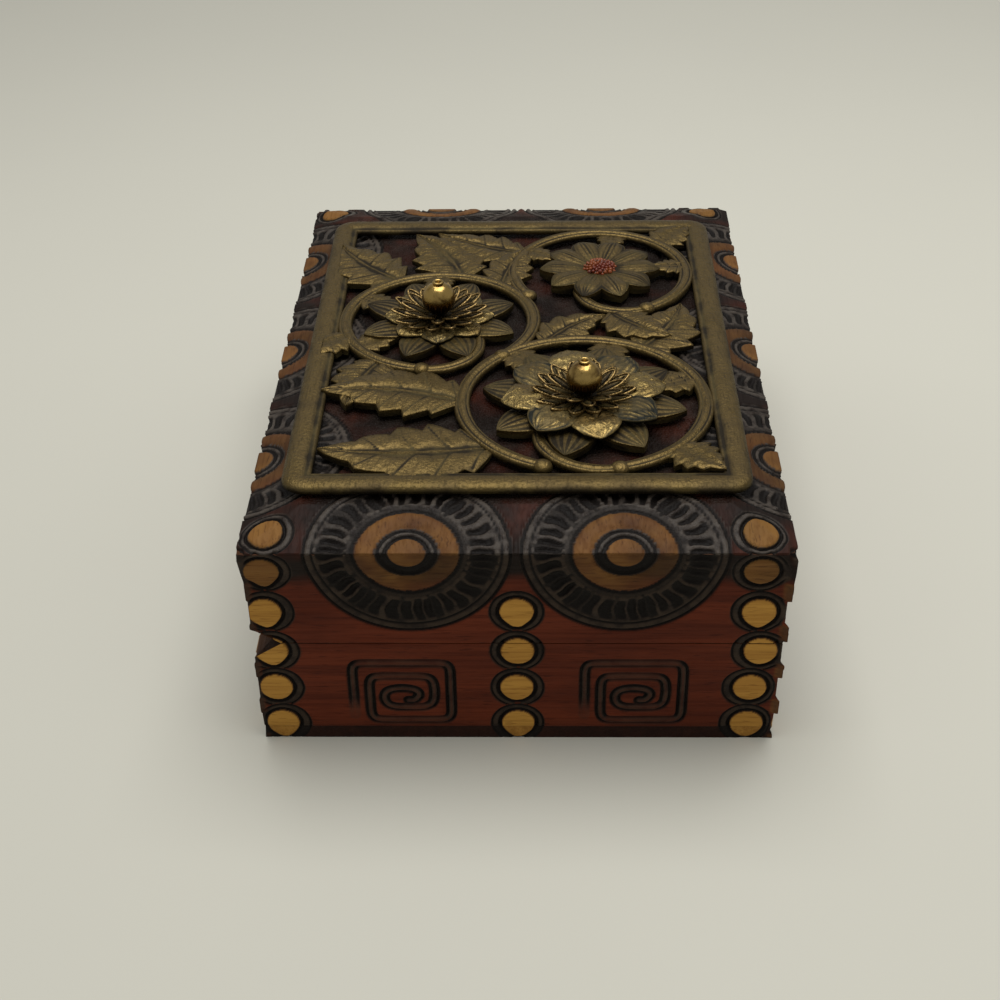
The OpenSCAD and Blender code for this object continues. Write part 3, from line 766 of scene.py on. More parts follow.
@dataclass(frozen=True)
class Spiral:
    """A double burned line that winds in from a rounded square to an oval curl.

    groove is half its width and its depth, and reach is how far the whole spiral goes along and up.
    """

    corners: tuple[tuple[float, float], ...] = (
        (-10.3, -6.4), (-10.3, 8.0), (10.4, 8.0), (10.4, -8.0), (-6.9, -8.0), (-6.9, 4.4), (6.9, 4.4),
        (6.9, -4.4), (-4.1, -4.4), (-4.1, 1.0), (4.2, 1.0), (4.2, -2.4), (1.2, -2.4),
    )
    spacing: float = 0.12
    line: float = 0.86
    end: float = 1.35
    groove: tuple[float, float] = (0.52, 0.80)
    reach: tuple[float, float] = (12.5, 10.0)

    def path(self) -> tuple[np.ndarray, np.ndarray]:
        """The middle of the line as points in mm, and how strongly it is burned there, from 0 to 1."""
        corners = np.array(self.corners)
        reach = np.concatenate([[0.0], np.cumsum(np.linalg.norm(np.diff(corners, axis=0), axis=1))])
        along = np.arange(0.0, reach[-1], self.spacing)
        points = np.stack([np.interp(along, reach, corners[:, axis]) for axis in (0, 1)], 1)
        share = along / reach[-1]
        for _ in range(2):
            windows = (15 + 8 * rise(share, 0.5, 0.85)).astype(int)
            points = np.stack([
                points[max(i - min(w, i, len(points) - 1 - i), 0):i + min(w, i, len(points) - 1 - i) + 1].mean(0)
                for i, w in enumerate(windows)
            ])
        step = np.gradient(points, axis=0)
        upright = np.abs(step[:, 1]) / np.maximum(np.hypot(step[:, 0], step[:, 1]), 1e-9)
        strength = 0.55 + 0.45 * rise(upright, 0.1, 0.7)
        strength = np.maximum(strength, 0.95 * rise(share, 0.72, 0.86)) * rise(share, 0.0, 0.04)
        return points, strength

    def cut(self, s: Values, du: np.ndarray, dt: np.ndarray) -> None:
        """Burns the line, where du and dt are distances along and up from its middle."""
        near = (np.abs(du) < self.reach[0]) & (np.abs(dt) < self.reach[1])
        if not near.any():
            return
        points, strength = self.path()
        where = np.stack([du[near], dt[near]], 1)
        gap = np.full(len(where), 1e3)
        force = np.zeros(len(where))
        for part in range(0, len(points), 60):
            some = points[part:part + 60]
            gaps = np.linalg.norm(where[:, None, :] - some[None, :, :], axis=2)
            nearest = gaps.argmin(1)
            found = gaps[np.arange(len(gaps)), nearest]
            closer = found < gap
            gap[closer] = found[closer]
            force[closer] = strength[part + nearest[closer]]
        uneven = 1 + 0.15 * waver(where[:, 0], where[:, 1], 2.0)
        s["depth"][near] = np.maximum(s["depth"][near], vee(gap, self.line, *self.groove) * force * uneven)
        burn = (1 - rise(gap, self.line + 0.2, self.end)) * (0.25 + 0.75 * force)
        burn = burn * (1 - 0.35 * (1 - rise(gap, 0.10, 0.40)))
        s["burn"][near] = np.maximum(s["burn"][near], burn)


@dataclass(frozen=True)
class Carving:
    """Where the carving lies on the box, in mm."""

    sizes: BoxSizes
    button: Button = Button()
    rosette: Rosette = Rosette()
    spiral: Spiral = Spiral()
    button_pitch: float = 10.1
    button_drop: float = 2.2
    column_in: float = 5.2
    flare_drop: float = 5.2
    rosette_pitch_end: float = 43.6
    rosette_pitch_side: float = 45.6
    spiral_z: float = 13.1
    spiral_end: float = 24.5
    spiral_side: float = 48.0
    leaf_y: float = 42.0
    leaf_half: float = 10.05
    leaf_from: float = 1.85
    leaf_to: float = 6.35
    leaf_t: float = 0.85
    recess: float = 0.85
    hinge_proud: float = 0.3
    side_dark: float = 0.45
    shifts: tuple[tuple[float, float], ...] = (
        (-0.5, -1.6), (-0.8, -1.2), (-0.5, -0.4), (-0.4, -1.7), (0.3, -1.7), (0.2, -1.8),
    )
    corner_out: tuple[tuple[float, float], ...] = (
        (0.0, -0.3), (2.0, 0.1), (6.0, 0.7), (30.0, 0.9), (42.0, 1.0), (46.0, 0.6), (49.0, 0.2), (50.5, -0.9),
    )

    def rosette_places(self, side: Side) -> list[float]:
        """Where a side's rosettes are, along it."""
        if side.is_end:
            return [-self.rosette_pitch_end / 2, self.rosette_pitch_end / 2]
        return [-self.rosette_pitch_side, 0.0, self.rosette_pitch_side]

    def columns(self, side: Side) -> tuple[list[float], list[float]]:
        """Where a side's corner columns and its middle columns of buttons are, along it."""
        corner = self.sizes.span(side) - self.column_in
        if side.is_end:
            return [-corner, corner], [0.0]
        return [-corner, corner], [-self.rosette_pitch_side / 2, self.rosette_pitch_side / 2]

    def rows(self) -> list[float]:
        """Heights of the rows of buttons, from the top down."""
        first = self.sizes.pin_z - self.button_drop
        return [first + self.button_pitch * row for row in (1.04, 0, -1, -2)]

    def wall(self, side: Side, u: np.ndarray, z: np.ndarray) -> Values:
        """The carving on a side's wall.

        Args:
            side: the side.
            u: places along it.
            z: heights.

        Returns:
            The surface's values there.
        """
        size = self.sizes
        s = carving(u.shape)
        uneven = waver(u + 31 * side.value, z, 9.0)
        # painted shade: the stain darkens to purple on the flare, partly its stain and partly painted shade under
        # the ridge; the foot is darkened a little as painted shade
        s["shade"] = np.clip(rise(z + 1.2 * uneven, 41.5, 45.5) + 0.25 * rise(-z, -6.5, -3.0), 0, 1)
        s["depth"] = 0.03 * waver(u * 0.4, z + 7 * side.value, 3.0) + 0.03
        for place in self.rosette_places(side):
            self.rosette.cut(s, u - place, z - size.ridge_z)
        spirals = (-self.spiral_end, self.spiral_end)
        if not side.is_end:
            spirals = (-self.spiral_side, 0.0, self.spiral_side)
        for place in spirals:
            self.spiral.cut(s, u - place, z - self.spiral_z)
        corner, middle = self.columns(side)
        for number, row in enumerate([size.ridge_z - self.flare_drop, *self.rows()]):
            shift = self.shifts[(number + 2 * side.value) % len(self.shifts)]
            # painted shade: the discs of the row on the flare are darkened to orange
            tint = 0.1 if number else 0.82
            for place, moved in zip(corner, shift):
                lean = -0.35 * math.copysign(1.0, place)
                self.button.cut(s, u - place - moved, z - row, place + 7 * number + side.value, tint, lean)
            for place in middle if number else []:
                self.button.cut(s, u - place, z - row, place * 0.3 + 7 * number + side.value, tint)
        self.corner(s, size.span(side) - size.wall_in - np.abs(u), z, self.proud(side, u))
        if side is Side.HINGE:
            self.groove(s, u, z)
        return s

    def proud(self, side: Side, u: np.ndarray) -> np.ndarray:
        """How far a side's corners stand out between the buttons, as a share: less beside the hinge."""
        if side is Side.FRONT:
            return np.ones(u.shape)
        beside_hinge = {Side.NEAR: u < 0, Side.FAR: u > 0, Side.HINGE: np.full(u.shape, True)}[side]
        return np.where(beside_hinge, self.hinge_proud, 1.0)

    def corner(self, s: Values, gap: np.ndarray, z: np.ndarray, proud: np.ndarray) -> None:
        """Cuts a corner back beside the buttons, and leaves it whole and rubbed bare between them.

        Args:
            s: the surface's values.
            gap: distances from the corner.
            z: heights.
            proud: how far it stands out between the buttons, as a share.
        """
        rows = np.array(self.rows())
        away = np.abs(z[..., None] - rows).min(-1) + 0.2 * waver(z, gap * 0.2, 2.5)
        beside = 1 - rise(away, 2.7, 3.4)
        heights, out = zip(*self.corner_out)
        number = np.floor(z / self.button_pitch)
        edge = (self.recess * beside - np.interp(z, heights, out) * (0.8 + 0.2 * chance(number, 7.0))) * proud
        close = 1 - rise(gap, -0.3, 1.5 + 0.3 * np.sin(z * 0.62))
        s["depth"] = s["depth"] * (1 - close) + edge * close
        cut = np.maximum(beside, rise(z, 47.5, 49.5)) * (1 - rise(gap, -0.5, 0.3))
        s["burn"] = np.maximum(s["burn"], cut)
        s["natural"] *= 1 - cut
        whole = rise(away, 3.0, 3.5) * (1 - rise(gap, 0.6, 1.6)) * (1 - rise(z, 42.0, 43.0))
        rubbed = whole * (0.22 + 0.25 * chance(number, 2.0)) * proud
        s["natural"] = np.maximum(s["natural"], rubbed)
        s["tint"] = np.maximum(s["tint"], 0.6 * whole)
        s["burn"] = np.maximum(s["burn"] * (1 - 0.5 * whole), (1 - 0.5 * proud) * whole)

    def groove(self, s: Values, u: np.ndarray, z: np.ndarray) -> None:
        """Leaves the V groove on the hinge side plain, and sinks the beds of the leaves in it."""
        size = self.sizes
        in_groove = size.notch(z) > 0
        for name, value in {"depth": 0.0, **GROOVE_WOOD}.items():
            s[name][in_groove] = value
        slope = math.hypot(size.groove_in, size.groove_h)
        along = np.abs(z - size.pin_z) / size.groove_h * slope
        bed = (along > self.leaf_from) & (along < self.leaf_to) & (np.abs(np.abs(u) - self.leaf_y) < self.leaf_half)
        s["depth"][in_groove & bed] = self.leaf_t

    def board(self, x: np.ndarray, y: np.ndarray) -> Values:
        """The carving on the top board, over its plan."""
        size = self.sizes
        # the top board's burned wood is painted a lighter grey as painted sheen, and made glossier
        s = carving(x.shape, silver=1.0)
        gap_x, gap_y = size.ridge_x - np.abs(x), size.ridge_y - np.abs(y)
        gap = np.minimum(gap_x, gap_y)
        plateau = rise(gap, size.bevel_in - 0.4, size.bevel_in + 0.8)
        s["ground"] = plateau
        s["shade"] = np.clip(0.98 + 0.45 * waver(x, y, 11.0), 0.35, 1.0)
        s["depth"] = 0.22 * plateau + 0.03 * waver(x, y, 3.0) + 0.03
        s["burn"] = 0.35 * plateau * rise(waver(y, x, 6.0), -0.3, 0.4)
        slope = math.hypot(size.bevel_in, size.top_z - size.ridge_z) / size.bevel_in

        def up(gap_in: np.ndarray) -> np.ndarray:
            """Distance up the bevel and over the flat from a ridge."""
            return np.minimum(gap_in, size.bevel_in) * slope + np.maximum(gap_in - size.bevel_in, 0)

        for side in (Side.NEAR, Side.FAR):
            facing = -1 if side is Side.NEAR else 1
            for place in self.rosette_places(side):
                near = np.where(y * facing > 0, up(gap_y), 1e3)
                self.rosette.cut(s, x - place, near)
        for side in (Side.FRONT, Side.HINGE):
            facing = 1 if side is Side.FRONT else -1
            for place in self.rosette_places(side):
                near = np.where(x * facing > 0, up(gap_x), 1e3)
                self.rosette.cut(s, y - place, near, self.side_dark)
        column = self.column_in
        for corner_x in (-1, 1):
            for corner_y in (-1, 1):
                dx = x - corner_x * (size.ridge_x - column) - self.shifts[-1][(1 + corner_x) // 2]
                dy = y - corner_y * (size.ridge_y - column)
                self.button.cut(s, dx, dy * self.button.flat, corner_x * 3.0 + corner_y, 0.74, -0.35 * corner_x)
        corner = 1 - rise(np.maximum(gap_x, gap_y), 0.3, 2.4)
        s["depth"] = np.maximum(s["depth"], 0.95 * corner)
        s["burn"] = np.maximum(s["burn"], corner)
        s["natural"] *= 1 - corner
        return s


@dataclass
class WoodenBox:
    """The mitred walls, the bottom board and the top board, carved on their outsides."""

    sizes: BoxSizes
    carving: Carving
    fine: float = 0.25
    coarse: float = 0.55
    soften: float = 2.0
    skin: float = 0.04
    stained_in: tuple[float, float, float] = (0.980, 0.986, 1.0)
    bare_in: tuple[float, float, float] = (0.977, 0.983, 1.0)

    def to_side(self, side: Side, u: np.ndarray, inward: np.ndarray, z: np.ndarray) -> np.ndarray:
        """Turns distances along a side, in from its ridge and up into points."""
        y = inward - self.sizes.half(side)
        turns = {Side.NEAR: (u, y), Side.FRONT: (-y, u), Side.FAR: (-u, -y), Side.HINGE: (y, -u)}
        return np.stack([*turns[side], np.broadcast_to(z, u.shape)], -1)

    def ends(self, side: Side, z: np.ndarray) -> tuple[np.ndarray, np.ndarray]:
        """How far a wall's left and right ends are in from the ridges next to it, seen from outside."""
        left = Side((side.value + 3) % 4)
        right = Side((side.value + 1) % 4)
        return self.sizes.inset(left, z), self.sizes.inset(right, z)

    def drawn_in(
        self, u: np.ndarray, from_left: np.ndarray, from_right: np.ndarray, ends: list[np.ndarray],
    ) -> np.ndarray:
        """Places along a face, drawn in near its left and right ends by the depth of the carving there."""
        left, right = (np.clip(1 - away / self.soften, 0, 1) for away in (from_left, from_right))
        return u + ends[0] * left - ends[1] * right

    def wall(self, name: str, side: Side, low: float, high: float) -> Shell:
        """One mitred wall.

        Args:
            name: its name, for the log.
            side: the side of the box.
            low: height of its lower edge.
            high: height of its upper edge.

        Returns:
            The closed shell, carved on its outer face.
        """
        size = self.sizes
        span = size.span(side)
        columns = int(2 * span / self.fine)
        rows = int((high - low) / self.fine)
        z = np.linspace(low, high, rows + 1)[:, None] * np.ones(columns + 1)
        left, right = self.ends(side, z)
        share = np.linspace(0.0, 1.0, columns + 1)[None, :]
        u = -span + left + (2 * span - left - right) * share
        face = size.inset(side, z)
        values = self.carving.wall(side, u, z)
        depth = values["depth"]
        plain = size.notch(z) if side is not Side.HINGE else np.zeros_like(z)
        beside_left = np.where((plain > 0) & (side is Side.NEAR), 0.0, depth[:, :1])
        beside_right = np.where((plain > 0) & (side is Side.FAR), 0.0, depth[:, -1:])
        place = self.drawn_in(u, u - u[:, :1], u[:, -1:] - u, [beside_left, beside_right])
        shell = Shell()
        index = shell.add(self.to_side(side, place, face + depth, z), values)
        shell.quads(index)
        loop = shell.border(index)
        place_loop, z_loop = Shell.border(place), Shell.border(z)
        out_loop = Shell.border(face + depth)
        reach = np.maximum(span - np.abs(place_loop), out_loop)
        at_end = np.isclose(np.abs(place_loop), np.abs(Shell.border(place * 0 + place[:, :1])))
        at_end |= np.isclose(place_loop, Shell.border(place * 0 + place[:, -1:]))
        slant = np.clip(np.abs(place_loop) / span, 0, 1) ** 40
        mitre = np.where(at_end, reach, out_loop + (reach - out_loop) * slant)
        count = len(loop)
        groove_wood = carving(count, **GROOVE_WOOD)
        inside = carving(count, natural=0.92, shade=0.2)
        middle = self.to_side(side, place_loop, mitre, z_loop)
        start = np.concatenate(shell.points)[loop]
        loop = shell.ring(loop, start + (middle - start) * 0.02, groove_wood)
        loop = shell.ring(loop, middle, groove_wood)
        thick = size.half(side) - (size.inner_y if side.is_end else size.inner_x)
        inner_span = size.inner_x if side.is_end else size.inner_y
        closer = place_loop * inner_span / np.maximum(np.abs(place_loop).max(), 1)
        inner = self.to_side(side, closer, thick + 0 * z_loop, z_loop)
        at_wall = np.clip(np.abs(place_loop) / np.where(at_end, np.abs(place_loop), np.inf), 0, 1)
        ended = self.to_side(side, np.sign(place_loop) * inner_span, thick + 0 * z_loop, z_loop)
        inner = np.where((at_wall > 0.5)[:, None], ended, inner)
        stained = {name: np.where(at_end, groove_wood[name], value) for name, value in inside.items()}
        loop = shell.ring(loop, middle + (inner - middle) * 0.12, groove_wood)
        loop = shell.ring(loop, middle + (inner - middle) * 0.14, stained)
        loop = shell.ring(loop, inner, inside)
        shell.cap(loop)
        LOG.debug("%s: %d columns, %d rows", name, columns, rows)
        return shell

    def bottom(self) -> Shell:
        """The bottom board, whose edge leans in and carries the feet of the lowest buttons."""
        size = self.sizes
        rows = int(size.wall_low / self.fine)
        z_row = np.linspace(0.0, size.wall_low, rows + 1)[:, None]
        strips, found = [], []
        for side in Side:
            span = size.span(side)
            columns = int(2 * span / self.fine)
            z = z_row * np.ones(columns)
            left, right = self.ends(side, z)
            share = np.linspace(0.0, 1.0, columns, endpoint=False)[None, :]
            u = -span + left + (2 * span - left - right) * share
            values = self.carving.wall(side, u, z)
            # the edge that leans in under the box is burned darker and its discs dimmed, partly its own dark burn
            # and partly painted shade
            values["burn"] = np.maximum(values["burn"], 0.72 * (1 - values["natural"]))
            values["natural"] *= 0.8
            values["depth"] = np.maximum(values["depth"], 0.35 * (1 - values["natural"]))
            depth = values["depth"] * (0.4 + 0.6 * z / size.wall_low)
            place = self.drawn_in(u, u - u[:, :1], span - right - u, [depth[:, :1], depth[:, -1:]])
            strips.append(self.to_side(side, place, size.inset(side, z) + depth, z))
            found.append(values)
        values = {name: np.concatenate([f[name] for f in found], 1) for name in found[0]}
        shell = Shell()
        index = shell.add(np.concatenate(strips, 1), values)
        shell.quads(index, around=True)
        plain = carving(index.shape[1], natural=0.9, shade=0.3)
        for loop, flat in ((index[-1], False), (index[0][::-1], True)):
            points = np.concatenate(shell.points)[loop]
            inner = points * np.array([0.998, 0.998, 1.0])
            ring = shell.ring(loop[::-1], inner[::-1], dict(plain, burn=plain["burn"] + (0.5 if flat else 0.0)))
            shell.cap(ring)
        return shell

    def top(self) -> Shell:
        """The top board with its bevels, its carved ground and the tongue that drops between the walls."""
        size = self.sizes
        edge = size.bevel_in + 1.0

        def lines(half: float) -> np.ndarray:
            """Grid lines that are fine over the bevels and coarser between them."""
            fine = np.linspace(half - edge, half, int(edge / self.fine) + 1)
            middle = np.linspace(edge - half, half - edge, int(2 * (half - edge) / self.coarse) + 1)[1:-1]
            return np.concatenate([-fine[::-1], middle, fine])

        x, y = np.meshgrid(lines(size.ridge_x), lines(size.ridge_y))
        values = self.carving.board(x, y)
        depth = values["depth"]
        gap_x, gap_y = size.ridge_x - np.abs(x), size.ridge_y - np.abs(y)
        climb = (size.top_z - size.ridge_z) / size.bevel_in
        z = size.ridge_z + climb * np.minimum(np.minimum(gap_x, gap_y), size.bevel_in) - depth
        z = np.maximum(z, size.board_z + self.skin)
        beside_x = np.where(x < 0, depth[:, :1], -depth[:, -1:])
        beside_y = np.where(y < 0, depth[:1, :], -depth[-1:, :])
        place_x = x + beside_x * np.clip(1 - gap_x / self.soften, 0, 1)
        place_y = y + beside_y * np.clip(1 - gap_y / self.soften, 0, 1)
        shell = Shell()
        index = shell.add(np.stack([place_x, place_y, z], -1), values)
        shell.quads(index)
        loop = shell.border(index)
        rim = {name: Shell.border(v) for name, v in values.items()}
        points = np.concatenate(shell.points)[loop]
        count = len(loop)
        inside = carving(count, natural=0.92, shade=0.2)
        under = points * [1, 1, 0] + [0, 0, size.board_z]
        loop = shell.ring(loop, under, rim)
        stained = carving(count, shade=0.8, burn=0.45)
        loop = shell.ring(loop, under * self.stained_in, stained)
        loop = shell.ring(loop, under * self.bare_in, inside)
        tongue = np.stack([
            np.clip(under[:, 0], -size.tongue_x, size.tongue_x),
            np.clip(under[:, 1], -size.tongue_y, size.tongue_y),
            under[:, 2],
        ], 1)
        loop = shell.ring(loop, tongue, inside)
        loop = shell.ring(loop, tongue * [1, 1, 0] + [0, 0, size.tongue_z], inside)
        shell.cap(loop)
        return shell

    def dress(
        self, shell: Shell, name: str, along_x: bool, body: Body, woods: dict[bool, bpy.types.Material],
    ) -> None:
        """Makes a wooden piece and gives it the wood whose grain runs its way."""
        finish_piece(shell.build("carved_" + name), woods[along_x], body, [name])

    def build(self) -> None:
        """Builds all ten wooden pieces."""
        size = self.sizes
        woods = {along: CarvedWood(along).build() for along in (True, False)}
        names = {Side.NEAR: "near_end", Side.FRONT: "front_wall", Side.FAR: "far_end", Side.HINGE: "hinge_wall"}
        for side, word in names.items():
            along_x = side.is_end
            base = self.wall("base_" + word, side, size.wall_low, size.base_top)
            self.dress(base, "base_" + word, along_x, Body.BASE, woods)
            lid = self.wall("lid_" + word, side, size.lid_low, size.board_z)
            self.dress(lid, "lid_" + word, along_x, Body.LID, woods)
        self.dress(self.bottom(), "base_bottom_board", False, Body.BASE, woods)
        self.dress(self.top(), "lid_top_board", False, Body.LID, woods)


# ---------------------------------------------------------------- the plaque


@dataclass(frozen=True)
class Leaf:
    """A toothed leaf of the plaque, in mm and degrees in the plaque's plan."""

    root: tuple[float, float]
    heading: float
    length: float
    width: float
    bend: float
    lift: float = 1.0
    teeth: int = 5
    tip: float = 0.8

    def half(self, t: np.ndarray) -> np.ndarray:
        """Half the width, as a share of the full width, at t along the leaf."""
        phase = t * self.teeth
        f = phase - np.floor(phase + 0.001)
        tooth = np.where(f < self.tip, f / self.tip, (1 - f) / (1 - self.tip))
        return 0.5 * np.sin(math.pi * t ** 0.72) * (0.74 + 0.26 * np.clip(tooth, 0, 1))

    def at(self, s: np.ndarray, side: np.ndarray) -> np.ndarray:
        """Points that lie s along the midrib and a distance to its left."""
        bend = math.radians(self.bend * 3)
        if abs(self.bend) < 1:
            x, y = s, side
        else:
            r = self.length / bend
            x, y = (r - side) * np.sin(s / r), r - (r - side) * np.cos(s / r)
        turn = math.radians(self.heading)
        x = x - 0.8
        across = self.root[0] + x * math.cos(turn) - y * math.sin(turn)
        return np.stack([across, self.root[1] + x * math.sin(turn) + y * math.cos(turn)], -1)

    def grow(self, shell: Shell, low: float, face: float) -> None:
        """Adds the leaf as a closed relief.

        Args:
            shell: the shell that it joins.
            low: height of its flat underside.
            face: mean height of its edge.
        """
        large = self.length > 16
        steps = 25 * self.teeth if large else 10 * self.teeth
        t, v = np.meshgrid(np.linspace(0, 1, steps + 1), np.linspace(-1.0, 1.0, 23 if large else 13))
        t = np.clip(t, 0.004, 0.996)
        out = np.abs(v)
        plan = self.at(t * self.length, self.half(t) * self.width * v)
        phase = self.teeth * (t + 0.15 * (1 - out)) - self.tip
        beside = phase - np.round(phase)
        vein = mound(beside, 0.07) * rise(out, 0.06, 0.2) * (1 - rise(out, 0.86, 1.0))
        small = 0.5 + 0.5 * np.cos(2 * math.pi * 4 * (beside + 0.18 * out))
        height = 0.5 * (1 - out ** 2.6) * np.sin(math.pi * t) ** 0.4
        height += 0.26 * np.sin(math.pi * np.abs(beside)) ** 0.8 * rise(out, 0.05, 0.4)
        height += 0.20 * vein + 0.07 * small * rise(out, 0.15, 0.4)
        height += (0.45 * mound(v, 0.055) - 0.42 * mound(v, 0.15)) * (1 - rise(t, 0.85, 1.0))
        height += 0.5 * np.sin(math.pi * (t - 0.25)) * t - 0.4 * (1 - rise(t, 0.0, 0.12))
        height += 0.12 * waver(plan[..., 0], plan[..., 1], 5.0)
        worn = 0.52 + 0.28 * height + 0.30 * vein - 0.6 * mound(v, 0.14) * (1 - mound(v, 0.05))
        worn -= 0.5 * mound(beside - 0.12, 0.05) * rise(out, 0.06, 0.2) * (1 - rise(out, 0.8, 0.95))
        top = np.concatenate([plan, (face + height * self.lift)[..., None]], -1)
        shell.slab(top, low, relief(worn.shape, np.clip(worn, 0, 1), 0.22))


@dataclass(frozen=True)
class Scroll:
    """One scroll of the plaque: a ring of stem that curls in to its flower, and the leaves that grow on it.

    Leaves are given as the angle round the scroll, the heading, the length and width as shares of the radius
    and the bend.
    """

    centre: tuple[float, float]
    radius: float
    start: float
    end: float
    curls_at_start: bool
    outer: tuple[tuple[float, float, float, float, float], ...]
    inner: tuple[tuple[float, float, float, float, float], ...]

    def on_ring(self, angle: float) -> tuple[float, float]:
        """The point of the ring at an angle."""
        turn = math.radians(angle)
        return self.centre[0] + self.radius * math.cos(turn), self.centre[1] + self.radius * math.sin(turn)

    def ring_path(self) -> np.ndarray:
        """The ring's centre line."""
        angle = np.radians(np.linspace(self.start, self.end, 120))
        return np.array(self.centre) + self.radius * np.stack([np.cos(angle), np.sin(angle)], 1)

    def curl_path(self) -> np.ndarray:
        """The half circle from the ring's end to the flower."""
        at = math.radians(self.start if self.curls_at_start else self.end)
        sign = -1 if self.curls_at_start else 1
        turn = at + sign * np.radians(np.linspace(-8, 176, 60))
        middle = np.array(self.centre) + self.radius / 2 * np.array([math.cos(at), math.sin(at)])
        return middle + self.radius / 2 * np.stack([np.cos(turn), np.sin(turn)], 1)

    def leaves(self) -> list[Leaf]:
        """Its leaves, those inside the ring lying lower."""
        grown = []
        for group, lift in ((self.outer, 1.0), (self.inner, 0.62)):
            for angle, heading, length, width, bend in group:
                size = (length * self.radius, width * self.radius)
                grown.append(Leaf(self.on_ring(angle), heading, *size, bend, lift))
        return grown


def stem(shell: Shell, path: np.ndarray, width: float, low: float, high: float, taper: float) -> None:
    """Adds a half-round stem with a flat underside along a path.

    Args:
        shell: the shell that it joins.
        path: its centre line in plan.
        width: its width.
        low: height of its underside.
        high: height of its top.
        taper: how much narrower its ends are, as a share.
    """
    step = np.gradient(path, axis=0)
    normal = np.stack([-step[:, 1], step[:, 0]], 1) / np.linalg.norm(step, axis=1)[:, None]
    along = np.linspace(0, 1, len(path))
    swell = 1 - taper * (2 * np.abs(along - 0.5)) ** 6 + 0.035 * np.sin(along * 41)
    arc = np.linspace(0, math.pi, 13)
    across = np.concatenate([np.cos(arc), [-1.0, 1.0]])
    fluted = np.concatenate([mound(np.abs(np.cos(arc)) - 0.5, 0.14), [0.0, 0.0]])
    up = np.concatenate([0.35 + 0.65 * np.sin(arc) ** 0.8, [0.0, 0.0]]) - 0.15 * fluted
    xy = path[:, None, :] + normal[:, None, :] * (across[None, :, None] * width / 2 * swell[:, None, None])
    z = low + (high - low) * up[None, :] * (0.85 + 0.15 * swell[:, None])
    rings = np.concatenate([xy, z[..., None]], -1)
    worn = np.clip(0.15 + 0.75 * up[None, :] - 0.45 * fluted[None, :] + 0 * z, 0, 1)
    shell.tube(rings, relief(worn.shape, worn, 0.25))


def rounded_loop(half_x: float, half_y: float, radius: float, corner: int, run: int) -> np.ndarray:
    """Points round a rectangle with round corners, anticlockwise from the middle of its right corner."""
    points = []
    for quarter, (sx, sy) in enumerate(((1, 1), (-1, 1), (-1, -1), (1, -1))):
        centre = np.array([sx * (half_x - radius), sy * (half_y - radius)])
        turn = math.pi / 2 * quarter + np.linspace(0, math.pi / 2, corner)
        arc = centre + radius * np.stack([np.cos(turn), np.sin(turn)], 1)
        following = ((-1, 1), (-1, -1), (1, -1), (1, 1))[quarter]
        start = np.array([following[0] * (half_x - radius), following[1] * (half_y - radius)])
        next_turn = math.pi / 2 * (quarter + 1)
        start = start + radius * np.array([math.cos(next_turn), math.sin(next_turn)])
        share = np.linspace(0, 1, run + 1, endpoint=False)[1:, None]
        points.append(arc)
        points.append(arc[-1] + (start - arc[-1]) * share)
    return np.concatenate(points)


@dataclass(frozen=True)
class Petal:
    """A pointed petal between two arcs, from a hub outwards, in mm."""

    radius: float
    width: float
    root: float = 0.14
    blunt: float = 1.0

    def half(self, t: np.ndarray) -> np.ndarray:
        """Half its width at t along it, from 0 at the root to 1 at the tip."""
        length = self.radius * (1 - self.root)
        r = (length ** 2 + self.width ** 2) / (4 * self.width)
        half = np.sqrt(np.maximum(r * r - (length * (t - 0.5)) ** 2, 0)) - (r - self.width / 2)
        return np.maximum(half, 0.02) * (1 + (self.blunt - 1) * mound(t - 0.8, 0.2))


